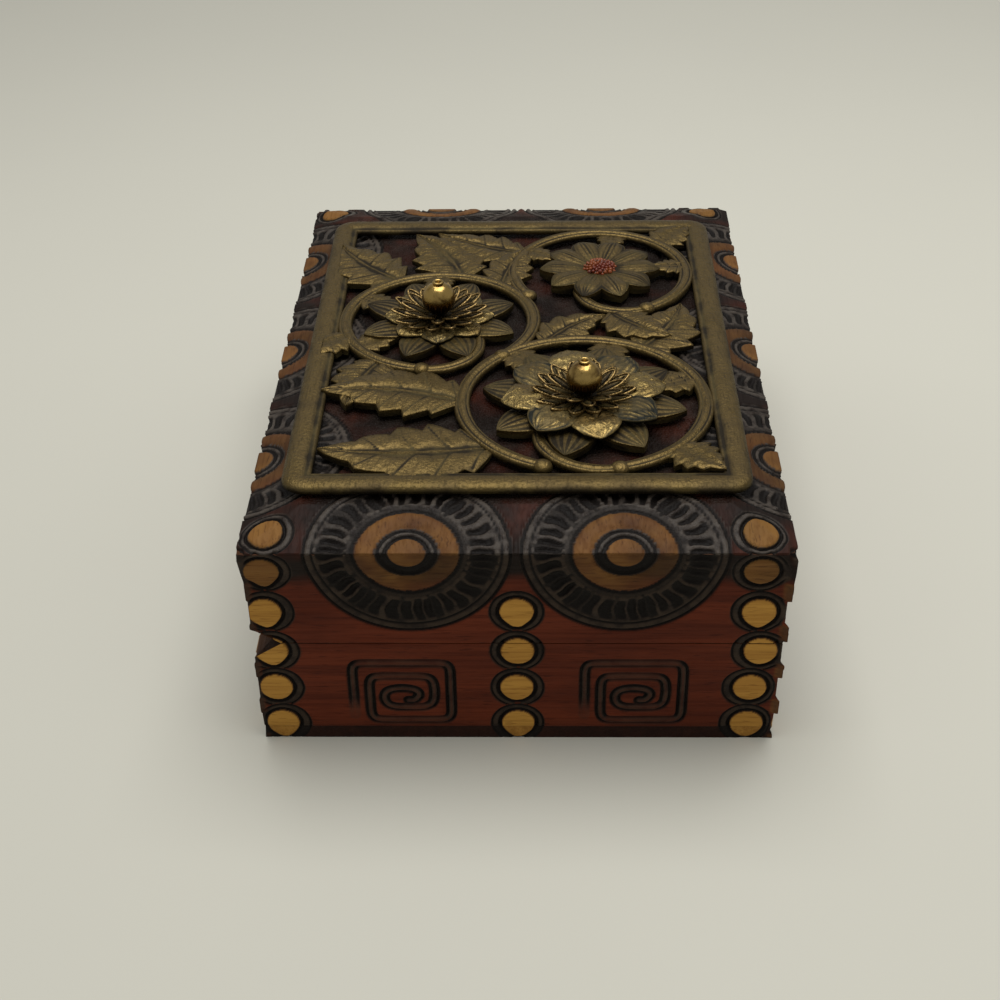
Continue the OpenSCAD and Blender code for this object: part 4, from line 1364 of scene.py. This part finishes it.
@dataclass(frozen=True)
class PetalRing:
    """A ring of veined petals round a centre.

    curve gives the height along a petal as (share of the radius, height) pairs.
    """

    centre: tuple[float, float]
    petal: Petal
    count: int
    turn: float
    hub_z: float
    curve: tuple[tuple[float, float], ...]
    thick: float
    veins: int
    camber: float
    patina: tuple[float, ...]
    flat_under: bool = False
    crinkle: float = 0.0

    def place(self, shell: Shell, number: int) -> None:
        """Adds one petal, and turns it to its place in the ring."""
        t, v = np.meshgrid(np.linspace(0.0, 1.0, 33), np.linspace(-1.0, 1.0, 17))
        petal = self.petal
        r = petal.radius * (petal.root + (1 - petal.root) * t)
        side = petal.half(t) * v
        share = r / petal.radius
        height = np.interp(share, [c[0] for c in self.curve], [c[1] for c in self.curve])
        smooth = np.interp(share - 0.05, [c[0] for c in self.curve], [c[1] for c in self.curve])
        height = (height + smooth) / 2
        out = np.abs(v)
        fan = v * self.veins / 2
        fan = fan + self.crinkle * 0.35 * np.sin(9 * t + 2 * number)
        vein = mound(fan - np.round(fan), 0.15) * (1 - rise(out, 0.82, 0.95)) * rise(t, 0.05, 0.2)
        rib = mound(v, 0.07)
        sag = self.camber * (1 - out ** 2) * np.sin(math.pi * t) ** 0.7
        lift = 0.25 * chance(np.array(number * 1.0), 5.0) * t ** 2
        raised = -0.16 + 0.34 * self.crinkle
        height = height + sag + lift + raised * vein + 0.14 * rib * (1 - rise(t, 0.7, 1.0))
        height += self.crinkle * 0.16 * waver(r * 1.0, side + 3 * number, 0.9)
        uneven = 2.4 * (chance(np.array(number * 1.0), 8.0) - 0.5)
        angle = math.radians(self.turn + 360.0 * number / self.count + uneven)
        x = self.centre[0] + r * math.cos(angle) - side * math.sin(angle)
        y = self.centre[1] + r * math.sin(angle) + side * math.cos(angle)
        top = np.stack([x, y, self.hub_z + height + self.thick], -1)
        worn = 0.42 + 0.30 * sag / max(self.camber, 0.1) + 0.35 * rise(out, 0.86, 1.0)
        worn = np.clip(worn + (-0.55 + 1.1 * self.crinkle) * vein, 0, 1)
        worn = worn * rise(t, -0.25, 0.35)
        values = relief(worn.shape, worn, self.patina[number % len(self.patina)])
        if self.flat_under:
            shell.slab(top, self.hub_z, values)
        else:
            shell.blade(top, top - [0, 0, self.thick], values, relief(worn.shape, 0.15, 0.9))

    def build(self, shell: Shell) -> None:
        """Adds all the petals and the hub that joins them."""
        for number in range(self.count):
            self.place(shell, number)
        disc(shell, self.centre, self.petal.radius * 0.26, self.hub_z, self.hub_z + self.thick)


def turned(centre: tuple[float, float], steps: Sequence[tuple[float, float]], count: int) -> np.ndarray:
    """Rings of points turned about an upright axis, one for each step's radius and height."""
    turn = np.linspace(0, 2 * math.pi, count, endpoint=False)
    return np.stack([
        np.stack([centre[0] + r * np.cos(turn), centre[1] + r * np.sin(turn), z + 0 * turn], -1) for r, z in steps
    ])


def disc(shell: Shell, centre: tuple[float, float], radius: float, low: float, high: float) -> None:
    """Adds a flat round hub with a softened edge."""
    steps = ((0.97, low), (1.0, low + 0.1), (1.0, high - 0.12), (0.95, high), (0.03, high))
    rings = turned(centre, [(radius * k, z) for k, z in steps], 40)
    shell.tube(rings, relief(rings.shape[:-1], 0.25, 0.5))


@dataclass
class Plaque:
    """The pierced casting: rim, scroll stems, leaves, cast petals and the feet that hold it off the board."""

    stem_w: float = 3.4
    rim_w: float = 6.0
    rim_r: float = 5.0
    groove_in: float = 4.95
    gap: float = 0.9
    sheet: float = 1.2
    knob_share: float = 0.62
    nail_share: float = 0.37
    foot_r: float = 2.0
    near_r: float = 26.8
    mid_r: float = 22.4
    far_r: float = 21.4

    def __post_init__(self) -> None:
        """Measures the casting in the frame, and finds the flowers' centres."""
        low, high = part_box("brass_plaque")
        self.low = low.z / MM + self.gap
        self.face = self.low + self.sheet
        self.half_x = (high.x - low.x) / 2 / MM
        self.half_y = (high.y - low.y) / 2 / MM
        self.middle_y = (high.y + low.y) / 2 / MM
        self.near_c = centre_of("large_flower_bead")
        self.mid_c = centre_of("small_flower_bead")
        self.far_c = centre_of("enamel_seed_centre")

    def scrolls(self) -> list[Scroll]:
        """The three scrolls with their leaves."""
        towards_mid = heading(self.near_c, self.mid_c)
        towards_far = heading(self.mid_c, self.far_c)
        near = Scroll(
            self.near_c, self.near_r, -75, 250, True,
            (
                (222, 196, 1.42, 0.86, -9), (180, 158, 1.23, 0.75, 10), (60, 40, 0.9, 0.67, 14),
                (316, 316, 0.52, 0.45, 0), (108, 62, 0.75, 0.49, -14),
            ),
            ((22, 218, 0.52, 0.37, -10), (76, 272, 0.52, 0.37, -10), (130, 326, 0.52, 0.37, -10)),
        )
        mid = Scroll(
            self.mid_c, self.mid_r, towards_mid - 180, 262, False,
            (
                (236, 240, 0.98, 0.67, 8), (118, 150, 1.21, 0.85, -12), (78, 104, 1.21, 0.89, 10),
                (200, 222, 0.63, 0.49, 0), (50, 84, 0.98, 0.58, -8),
            ),
            ((150, 318, 0.58, 0.4, 10), (212, 20, 0.58, 0.4, 10), (92, 260, 0.49, 0.36, 10)),
        )
        far = Scroll(
            self.far_c, self.far_r, -60, towards_far + 182, True,
            ((150, 172, 1.21, 0.7, -10), (276, 300, 0.89, 0.65, 12), (46, 46, 0.65, 0.56, 0)),
            ((8, 200, 0.47, 0.37, -10), (80, 274, 0.47, 0.37, -10), (150, 340, 0.47, 0.37, -10)),
        )
        return [near, mid, far]

    def rim(self, shell: Shell) -> None:
        """The rounded bar of the rim."""
        section = (
            (0.0, 0.0), (0.0, 0.75), (0.25, 1.15), (0.8, 1.45), (1.7, 1.66), (2.8, 1.70), (3.9, 1.62), (4.6, 1.42),
            (4.95, 1.22), (5.3, 1.30), (5.65, 1.22), (5.95, 0.95), (6.0, 0.6), (6.0, 0.0),
        )
        loops, worn = [], []
        for inset, up in section:
            loop = rounded_loop(self.half_x - inset, self.half_y - inset, max(self.rim_r - inset, 0.35), 10, 90)
            uneven = 0.05 * waver(loop[:, 0], loop[:, 1], 7.0) * (up > 0.8)
            side = 1 - 0.0007 * waver(loop[:, 1], loop[:, 0], 9.0)
            height = self.low + up + uneven
            loops.append(np.stack([loop[:, 0] * side, loop[:, 1] * side + self.middle_y, height], -1))
            groove = math.exp(-((inset - self.groove_in) / 0.3) ** 2)
            worn.append(0 * loop[:, 0] + (0.20 + 0.23 * up - 0.35 * groove))
        points = np.stack(loops)
        index = shell.add(points, relief(points.shape[:-1], np.stack(worn), 0.18))
        shell.quads(index, around=True, closed=True)

    def feet(self, shell: Shell) -> None:
        """The four feet under the rim, round the fixing pins."""
        for x in (-1, 1):
            for y in (-1, 1):
                at = (2 * x * self.half_x * self.nail_share, self.middle_y + y * (self.half_y - self.rim_w / 2))
                disc(shell, at, self.foot_r, self.low - self.gap, self.low + 0.2)

    def build(self) -> None:
        """Builds the whole casting as one piece."""
        shell = Shell()
        self.rim(shell)
        self.feet(shell)
        scrolls = self.scrolls()
        for scroll in scrolls:
            for number, leaf in enumerate(scroll.leaves()):
                leaf.grow(shell, self.low, self.face - 0.4 + 0.3 * (number % 2))
        for scroll in scrolls:
            stem(shell, scroll.ring_path(), self.stem_w, self.low, self.face + 0.55, 0.12)
            stem(shell, scroll.curl_path(), self.stem_w * 0.9, self.low, self.face + 0.35, 0.2)
            for end in (scroll.start, scroll.end):
                knob(shell, scroll.on_ring(end), self.stem_w * self.knob_share, self.low, self.face + 0.9)
            disc(shell, scroll.centre, 5.0, self.low, self.face)
        domed = ((0.0, 0.4), (0.4, 0.9), (0.75, 1.3), (1.0, 0.5))
        broad = Petal(15.0, 7.5, 0.14, 1.1)
        cast = PetalRing(self.far_c, broad, 10, 0.0, self.low, domed, self.sheet, 7, 0.7, (0.2, 0.35), True)
        cast.build(shell)
        low = ((0.0, -0.1), (0.4, -0.1), (0.7, 0.5), (0.9, 0.5), (1.0, 0.1))
        for centre, radius, turn in ((self.near_c, self.near_r, 32.5), (self.mid_c, self.mid_r, 22.5)):
            petal = Petal(radius * 0.85, radius * 0.4, 0.14, 1.0)
            cast = PetalRing(centre, petal, 8, turn, self.low, low, self.sheet, 5, 0.45, (0.3, 0.15, 0.4), True)
            cast.build(shell)
        clip_to(shell, self.half_x - self.rim_w / 2, self.half_y - self.rim_w / 2, self.middle_y)
        piece = shell.build("cast_plaque")
        finish_piece(piece, AgedBrass("antique_brass").build(), Body.LID, ["brass_plaque"])


def clip_to(shell: Shell, half_x: float, half_y: float, middle_y: float) -> None:
    """Draws points of leaves that pass the middle of the rim back under it, and leaves the rim as it is."""
    for number, points in enumerate(shell.points[1:], 1):
        inside_x = np.clip(points[:, 0], -half_x, half_x)
        inside_y = np.clip(points[:, 1] - middle_y, -half_y, half_y) + middle_y
        moved = np.hypot(inside_x - points[:, 0], inside_y - points[:, 1]) > 1e-9
        if moved.mean() < 0.6:
            shell.points[number] = np.stack([inside_x, inside_y, points[:, 2]], 1)


def knob(shell: Shell, at: tuple[float, float], radius: float, low: float, high: float) -> None:
    """Adds a domed knob where a stem starts or ends."""
    rise_at = np.linspace(0, math.pi / 2, 8)
    steps = [(1.0, 0.0)] + [(math.cos(a) if a < 1.5 else 0.03, 0.35 + 0.65 * math.sin(a)) for a in rise_at]
    rings = turned(at, [(radius * k, low + (high - low) * h) for k, h in steps], 28)
    worn = np.array([h for _, h in steps])[:, None]
    shell.tube(rings, relief(rings.shape[:-1], 0.2 + 0.7 * worn, 0.2))


def centre_of(node: str) -> tuple[float, float]:
    """The middle of a CAD node in plan, in mm."""
    low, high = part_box(node)
    return (low.x + high.x) / 2 / MM, (low.y + high.y) / 2 / MM


def heading(start: tuple[float, float], end: tuple[float, float]) -> float:
    """The direction from one point to another, in degrees."""
    return math.degrees(math.atan2(end[1] - start[1], end[0] - start[0]))


# ---------------------------------------------------------------- the flowers


class RepeatTree(Nodes):
    """A Geometry Nodes tree that repeats a shape, with named inputs for its sizes."""

    def __init__(self, name: str, sockets: Sequence[tuple[str, str]]) -> None:
        """Builds the tree.

        Args:
            name: its name.
            sockets: name and kind of each input beside the geometry.
        """
        super().__init__(bpy.data.node_groups.new(name, "GeometryNodeTree"))
        face = self.tree.interface
        for way in ("INPUT", "OUTPUT"):
            face.new_socket("Geometry", in_out=way, socket_type="NodeSocketGeometry")
        self.inputs = {
            word: face.new_socket(word, in_out="INPUT", socket_type="NodeSocket" + kind).identifier
            for word, kind in sockets
        }
        self.given = self.node("NodeGroupInput").outputs
        self.dress(self.repeat())

    def repeat(self) -> Socket:
        """Wires the repeated shape, and returns its realized geometry."""
        raise NotImplementedError

    def copies(self, points: Socket, shape: Socket, **inputs: Socket) -> Socket:
        """Real copies of a shape on points, with more inputs of the instancing node by name."""
        made = self.node("GeometryNodeInstanceOnPoints")
        for name, value in {"Points": points, "Instance": shape, **inputs}.items():
            self.put(made.inputs[name], value)
        real = self.node("GeometryNodeRealizeInstances")
        self.put(real.inputs[0], made.outputs[0])
        return real.outputs[0]

    def dress(self, geometry: Socket) -> None:
        """Gives the geometry its material and hands it out."""
        dressed = self.node("GeometryNodeSetMaterial")
        self.put(dressed.inputs["Geometry"], geometry)
        self.put(dressed.inputs["Material"], self.given["Material"])
        self.put(self.node("NodeGroupOutput").inputs[0], dressed.outputs[0])

    def apply(self, piece: bpy.types.Object, **values: object) -> bpy.types.Object:
        """Runs the tree on an object.

        Args:
            piece: the object that the tree starts from. It is removed.
            **values: the tree's inputs by name.

        Returns:
            The plain mesh object with the piece's name.
        """
        modifier = piece.modifiers.new("repeat", "NODES")
        modifier.node_group = self.tree
        for name, value in values.items():
            modifier[self.inputs[name]] = value
        bpy.context.view_layer.update()
        evaluated = piece.evaluated_get(bpy.context.evaluated_depsgraph_get())
        mesh = bpy.data.meshes.new_from_object(evaluated)
        name = piece.name
        bpy.data.objects.remove(piece)
        mesh.name = name
        return link(name, mesh)


class RingTree(RepeatTree):
    """Sets copies of a petal, which lies along X from the origin, round a hub."""

    def __init__(self) -> None:
        """Builds the tree with its named inputs."""
        super().__init__("petals_round_a_hub", (
            ("Count", "Int"), ("Turn", "Float"), ("Unevenness", "Float"), ("Seed", "Int"), ("Centre", "Vector"),
            ("Material", "Material"),
        ))

    def repeat(self) -> Socket:
        """Wires points, turned petals on them and the move to the flower's centre."""
        given = self.given
        points = self.node("GeometryNodeMeshLine", mode="OFFSET")
        self.put(points.inputs["Offset"], (0, 0, 0))
        self.put(points.inputs["Count"], given["Count"])
        index = self.node("GeometryNodeInputIndex").outputs[0]
        step = self.math("DIVIDE", 2 * math.pi, given["Count"])
        angle = self.math("ADD", self.math("MULTIPLY", index, step), given["Turn"])
        tilt = self.node("FunctionNodeRandomValue", data_type="FLOAT")
        self.put(tilt.inputs["Seed"], given["Seed"])
        self.put(tilt.inputs[2], self.math("MULTIPLY", given["Unevenness"], -1.0))
        self.put(tilt.inputs[3], given["Unevenness"])
        turn = self.node("ShaderNodeCombineXYZ")
        self.put(turn.inputs["Y"], tilt.outputs[1])
        self.put(turn.inputs["Z"], angle)
        placed = self.node("GeometryNodeTransform")
        real = self.copies(points.outputs["Mesh"], given["Geometry"], Rotation=turn.outputs[0])
        self.put(placed.inputs[0], real)
        self.put(placed.inputs["Translation"], given["Centre"])
        return placed.outputs[0]


@dataclass(frozen=True)
class LoopedDaisy:
    """A daisy of wire loops, each with a small blade inside it."""

    name: str
    node: str
    radius: float
    count: int
    width_share: float
    curve: tuple[tuple[float, float], ...]
    turn: float
    seed: int
    hub_share: float = 0.34
    wire: float = 0.62
    thick: float = 0.6

    def height(self, r: np.ndarray) -> np.ndarray:
        """Height over the hub at a distance from the middle."""
        share = r / self.radius
        xs, ys = [c[0] for c in self.curve], [c[1] for c in self.curve]
        return (np.interp(share, xs, ys) + np.interp(share - 0.06, xs, ys) + np.interp(share + 0.06, xs, ys)) / 3

    def petal(self) -> Shell:
        """One loop and its blade, along X from the hub."""
        shell = Shell()
        t = (1 - np.cos(np.linspace(0, math.pi, 24))) / 2
        half = np.maximum(self.radius * self.width_share / 2 * np.sin(math.pi * t ** 1.3) ** 0.62, 0.06)
        r = self.radius * (0.14 + 0.86 * t) - self.wire * 0.5 * t
        path = np.concatenate([np.stack([r, half], 1), np.stack([r, -half], 1)[::-1]])
        step = np.roll(path, -1, 0) - np.roll(path, 1, 0)
        normal = np.stack([step[:, 1], -step[:, 0]], 1) / np.linalg.norm(step, axis=1)[:, None]
        turn = np.linspace(0, 2 * math.pi, 8, endpoint=False)
        across, up = self.wire * 0.5 * np.cos(turn), self.thick * 0.5 * (1 + np.sin(turn))
        xy = path[:, None, :] + normal[:, None, :] * across[None, :, None]
        z = self.height(path[:, 0])[:, None] + up[None, :]
        rings = np.concatenate([xy, z[..., None]], -1)
        worn = np.clip(0.35 + 0.65 * up[None, :] / self.thick + 0 * z, 0, 1)
        index = shell.add(rings, relief(worn.shape, worn, 0.2))
        shell.quads(index, around=True, closed=True, flip=True)
        t, v = np.meshgrid(np.linspace(0.0, 1.0, 13), np.linspace(-1, 1, 7))
        blade = self.radius * (0.2 + 0.68 * t)
        wide = np.maximum(np.sin(math.pi * t ** 1.1), 0.06) * self.radius * self.width_share * 0.27
        lift = self.height(blade) + 0.12 + 0.22 * (1 - np.abs(v))
        top = np.stack([blade, wide * v, lift + 0.28], -1)
        bottom = top - [0, 0, 0.28]
        worn = 0.15 + 0.45 * (1 - np.abs(v))
        shell.blade(top, bottom, relief(worn.shape, worn, 0.45), relief(worn.shape, 0.1, 0.9))
        return shell

    def build(self, ring: RingTree, material: bpy.types.Material) -> None:
        """Sets the petals round the hub and adds the hub."""
        low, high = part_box(self.node)
        centre = Vector(((low.x + high.x) / 2, (low.y + high.y) / 2, low.z))
        petal = self.petal().build(self.name)
        flower = ring.apply(
            petal, Count=self.count, Turn=math.radians(self.turn), Unevenness=0.05, Seed=self.seed,
            Centre=tuple(centre), Material=material,
        )
        hub = Shell()
        place = (centre.x / MM, centre.y / MM)
        disc(hub, place, self.radius * self.hub_share, centre.z / MM, centre.z / MM + self.thick)
        joined = join([flower, hub.build(self.name + "_hub")], self.name)
        finish_piece(joined, material, Body.LID, [self.node])


def join(pieces: Sequence[bpy.types.Object], name: str) -> bpy.types.Object:
    """Joins objects into the first of them."""
    with bpy.context.temp_override(active_object=pieces[0], selected_editable_objects=list(pieces)):
        bpy.ops.object.join()
    pieces[0].name = name
    return pieces[0]


@dataclass(frozen=True)
class PressedFlower:
    """A flower of pressed brass: broad petals, two looped daisies, a bead and the rivet through them."""

    word: str
    radius: float
    curve: tuple[tuple[float, float], ...]
    turn: float
    patina: tuple[float, ...]
    daisy_turns: tuple[float, float]
    bore_r: float = 0.85

    def build(self, ring: RingTree, brass: bpy.types.Material, gold: bpy.types.Material) -> None:
        """Builds the five pieces of the flower."""
        low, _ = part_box(self.word + "_petals")
        shell = Shell()
        petals = PetalRing(
            centre_of(self.word + "_bead"), Petal(self.radius, self.radius * 0.60, 0.14, 1.12), 8, self.turn,
            low.z / MM, self.curve, 0.55, 9, 0.35, self.patina, False, 1.0,
        )
        petals.build(shell)
        patinated = AgedBrass(
            self.word + "_petal_brass", bright=(0.38, 0.27, 0.095), warm=(0.22, 0.145, 0.048),
            dark=(0.010, 0.011, 0.007), green=(0.024, 0.023, 0.012), roughness=0.36, metal=(1.0, 0.35),
        )
        piece = shell.build(self.word + "_broad_petals")
        finish_piece(piece, patinated.build(), Body.LID, [self.word + "_petals"])
        cup = ((0.0, 0.0), (0.3, 0.0), (0.7, 1.4), (1.0, 2.6))
        star = ((0.0, 0.0), (0.3, 0.0), (0.65, 1.8), (1.0, 3.0))
        lower = LoopedDaisy(
            self.word + "_daisy_low", self.word + "_lower_daisy", 11.5, 14, 0.27, cup, self.daisy_turns[0], 4,
        )
        upper = LoopedDaisy(
            self.word + "_daisy_top", self.word + "_upper_daisy", 9.0, 12, 0.30, star, self.daisy_turns[1], 7,
        )
        for daisy in (lower, upper):
            daisy.build(ring, brass)
        self.bead(gold)
        self.rivet(gold)

    def bead(self, gold: bpy.types.Material) -> None:
        """The hollow brass ball, bored for the rivet."""
        low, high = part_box(self.word + "_bead")
        radius = (high.x - low.x) / 2 / MM
        middle = ((high + low) / 2) / MM
        bore = self.bore_r / radius
        lean = np.linspace(-math.acos(bore), math.acos(bore), 30)
        rings = [(radius * math.cos(a), radius * math.sin(a)) for a in lean]
        rings = [(r * (1 - 0.012 * abs(math.sin(7 * a))), h) for (r, h), a in zip(rings, lean)]
        shell = Shell()
        points = turned((middle.x, middle.y), [(r, middle.z + h) for r, h in rings], 48)
        # painted shade: the lower half of the ball is darkened towards the brass's shadow colour
        painted_shade_below = 0.93 * rise(-np.array([h for _, h in rings]) / radius, -0.45, 0.12)
        shell.tube(points, relief(points.shape[:-1], 0.9, painted_shade_below[:, None]))
        piece = shell.build(self.word + "_ball")
        finish_piece(piece, gold, Body.LID, [self.word + "_bead"])

    def rivet(self, gold: bpy.types.Material) -> None:
        """The tubular rivet, whose flared end stands open on the bead."""
        low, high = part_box(self.word + "_rivet")
        bottom, top = low.z / MM, high.z / MM
        steps = (
            (0.05, bottom), (1.55, bottom), (1.6, bottom + 0.3), (0.8, bottom + 0.62), (0.78, top - 1.0),
            (1.05, top - 0.72), (1.38, top - 0.5), (1.42, top - 0.3), (1.2, top - 0.14), (0.92, top - 0.1),
            (0.70, top - 0.22), (0.58, top - 0.5), (0.54, top - 1.3), (0.04, top - 1.4),
        )
        points = turned(centre_of(self.word + "_rivet"), steps, 32)
        shell = Shell()
        shell.tube(points, relief(points.shape[:-1], 0.9, 0.0))
        piece = shell.build(self.word + "_tube_rivet")
        finish_piece(piece, gold, Body.LID, [self.word + "_rivet"])


class SeedTree(RepeatTree):
    """Covers a surface's points with small balls of uneven size."""

    def __init__(self) -> None:
        """Builds the tree with its named inputs."""
        super().__init__("seeds_on_points", (("Seed Radius", "Float"), ("Seed", "Int"), ("Material", "Material")))

    def repeat(self) -> Socket:
        """Wires the ball, its random size and its copies."""
        ball = self.node("GeometryNodeMeshIcoSphere")
        self.put(ball.inputs["Subdivisions"], 2)
        self.put(ball.inputs["Radius"], self.given["Seed Radius"])
        size = self.node("FunctionNodeRandomValue", data_type="FLOAT")
        self.put(size.inputs[2], 0.75)
        self.put(size.inputs[3], 1.15)
        self.put(size.inputs["Seed"], self.given["Seed"])
        return self.copies(self.given["Geometry"], ball.outputs["Mesh"], Scale=size.outputs[1])

    def sow(self, name: str, points: np.ndarray, **values: object) -> bpy.types.Object:
        """Sets a seed on each point, given in mm, and returns the plain mesh object."""
        cloud = bpy.data.meshes.new(name)
        cloud.from_pydata((points * MM).tolist(), [], [])
        seeds = self.apply(link(name, cloud), **values)
        for polygon in seeds.data.polygons:
            polygon.use_smooth = True
        return seeds


@dataclass(frozen=True)
class SeedCentre:
    """The enamelled middle of the third flower: a dome set with seeds in rows that spiral out."""

    seeds: int = 62
    seed_r: float = 0.52
    golden_angle: float = 137.508

    def build(self) -> None:
        """Builds the dome with its seeds as one piece."""
        low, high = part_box("enamel_seed_centre")
        x, y = centre_of("enamel_seed_centre")
        radius = (high.x - low.x) / 2 / MM
        foot, top = Plaque().face, high.z / MM
        number = np.arange(self.seeds)
        out = np.sqrt((number + 0.5) / self.seeds)
        turn = number * math.radians(self.golden_angle)
        dome = foot + (top - foot - self.seed_r) * np.sqrt(np.maximum(1 - (out * 0.9) ** 2, 0))
        reach = radius - self.seed_r * 0.9
        points = np.stack([x + reach * out * np.cos(turn), y + reach * out * np.sin(turn), dome], -1)
        glass = Enamel().build()
        seeds = SeedTree().sow(
            "enamel_seeds", points, **{"Seed Radius": self.seed_r * MM, "Seed": 11, "Material": glass},
        )
        shell = Shell()
        steps = [(0.4, low.z / MM), (0.8, foot)]
        for a in np.linspace(math.pi / 2, 0.02, 8):
            steps.append((reach * math.sin(a), foot + (top - foot - self.seed_r) * math.cos(a)))
        rings = turned((x, y), steps, 36)
        shell.tube(rings, relief(rings.shape[:-1], 0.2, 0.8))
        piece = join([seeds, shell.build("enamel_dome")], "enamel_seeds")
        finish_piece(piece, glass, Body.LID, ["enamel_seed_centre"])


def dress_fittings() -> None:
    """Gives the hinges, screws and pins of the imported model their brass."""
    brass = PlainBrass("hinge_brass", (0.46, 0.31, 0.11), (0.12, 0.075, 0.03), 0.32, 0.6).build()
    for name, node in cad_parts.items():
        if node.hide_render:
            continue
        node.data.materials.clear()
        node.data.materials.append(brass)
        LOG.info("%s: dressed as a fitting", name)


# ---------------------------------------------------------------- the studio


@dataclass(frozen=True)
class Studio:
    """The pale floor, the soft light and the camera at the photograph's viewing angle."""

    floor: Colour = (0.640, 0.628, 0.548)
    floor_half: float = 4.0
    world: Colour = (0.36, 0.358, 0.35)
    lamp_at: tuple[float, float, float] = (0.03, 0.16, 1.05)
    lamp_aim: tuple[float, float, float] = (0.0, 0.0, 0.03)
    lamp_size: float = 0.9
    lamp_power: float = 9.4
    lamp_colour: Colour = (1.0, 0.995, 0.985)
    lens: float = 59.50
    camera_at: tuple[float, float, float] = (0.0042, -0.3382, 0.2500)
    yaw: float = -0.0275
    pitch: float = 0.6203
    roll: float = -0.0174

    def build(self) -> None:
        """Builds the floor, the lamp, the world and the camera."""
        self.build_floor()
        self.build_light()
        self.build_camera()

    def build_floor(self) -> None:
        """A plain floor that runs on past the view, its colour painted darker towards the back and the left as
        painted shade.
        """
        mesh = bpy.data.meshes.new("floor")
        far = self.floor_half
        mesh.from_pydata([(-far, -far, 0), (far, -far, 0), (far, far, 0), (-far, far, 0)], [], [(0, 1, 2, 3)])
        floor = link("floor", mesh)
        g = Graph("pale_floor")
        parts = g.node("ShaderNodeSeparateXYZ")
        g.put(parts.inputs[0], g.place)
        # painted shade: the floor's colour fades towards the back and the left, where the lamp's light falls off
        away = g.between(parts.outputs["Y"], 0.08, 0.46, (1.0, 0.80))
        across = g.between(parts.outputs["X"], -0.30, 0.08, (0.90, 1.0))
        shade = g.math("MULTIPLY", g.between(g.noise(g.place, 9.0, 3.0), 0.2, 0.8, (0.985, 1.0)), across)
        g.set("Base Color", g.mix(1.0, self.floor, g.math("MULTIPLY", shade, away), "MULTIPLY"))
        g.set("Roughness", 0.9)
        g.set("Specular IOR Level", 0.1)
        mesh.materials.append(g.material)

    def build_light(self) -> None:
        """One broad, soft lamp above and a little behind the box, and an even grey world."""
        data = bpy.data.lights.new("lamp_above", "AREA")
        data.shape = "SQUARE"
        data.size = self.lamp_size
        data.energy = self.lamp_power
        data.color = self.lamp_colour
        lamp = link("lamp_above", data)
        lamp.location = self.lamp_at
        lamp.rotation_euler = (Vector(self.lamp_aim) - Vector(self.lamp_at)).to_track_quat("-Z", "Y").to_euler()
        world = bpy.data.worlds.new("studio")
        world.use_nodes = True
        background = world.node_tree.nodes["Background"].inputs
        background["Color"].default_value = (*self.world, 1)
        background["Strength"].default_value = 1.0
        bpy.context.scene.world = world
        bpy.context.scene.view_settings.view_transform = "Standard"

    def build_camera(self) -> None:
        """The camera, turned as the photograph's was."""
        data = bpy.data.cameras.new("camera")
        data.lens = self.lens
        data.sensor_width = 36.0
        data.clip_start = 0.01
        camera = link("camera", data)
        cy, sy, cp, sp = math.cos(self.yaw), math.sin(self.yaw), math.cos(self.pitch), math.sin(self.pitch)
        ahead = Vector((sy * cp, cy * cp, -sp))
        right = Vector((cy, -sy, 0))
        up = right.cross(ahead)
        cr, sr = math.cos(self.roll), math.sin(self.roll)
        tilted_right, tilted_up = cr * right + sr * up, -sr * right + cr * up
        turn = Matrix((tilted_right, tilted_up, -ahead)).transposed().to_4x4()
        camera.matrix_world = Matrix.Translation(self.camera_at) @ turn
        bpy.context.scene.camera = camera


def main() -> None:
    """Builds the box, its plaque and its flowers, dresses the fittings and sets the scene."""
    logging.basicConfig(level=logging.INFO, format="%(name)s %(message)s")
    sizes = BoxSizes.read()
    WoodenBox(sizes, Carving(sizes)).build()
    Plaque().build()
    ring = RingTree()
    daisy_brass = AgedBrass(
        "daisy_brass", bright=(0.30, 0.20, 0.075), warm=(0.17, 0.11, 0.038), roughness=0.34,
    ).build()
    gold = PlainBrass("polished_brass", (0.46, 0.31, 0.10), (0.10, 0.055, 0.018), 0.15, 0.55).build()
    large = PressedFlower(
        "large_flower", 18.5, ((0.0, 0.0), (0.22, 0.0), (0.5, 1.6), (0.75, 2.1), (1.0, 1.2)), 10.0,
        (0.15, 0.95, 0.35, 0.85, 0.1, 0.75, 0.3, 1.0), (0.0, 8.0),
    )
    small = PressedFlower(
        "small_flower", 13.0, ((0.0, 0.0), (0.3, 0.0), (0.6, 0.5), (0.85, 0.8), (1.0, 0.45)), 0.0,
        (0.2, 0.5, 0.05, 0.7, 0.3, 0.1, 0.6, 0.25), (5.0, 0.0),
    )
    for flower in (large, small):
        flower.build(ring, daisy_brass, gold)
    SeedCentre().build()
    dress_fittings()
    Studio().build()


if __name__ == "__main__":
    main()
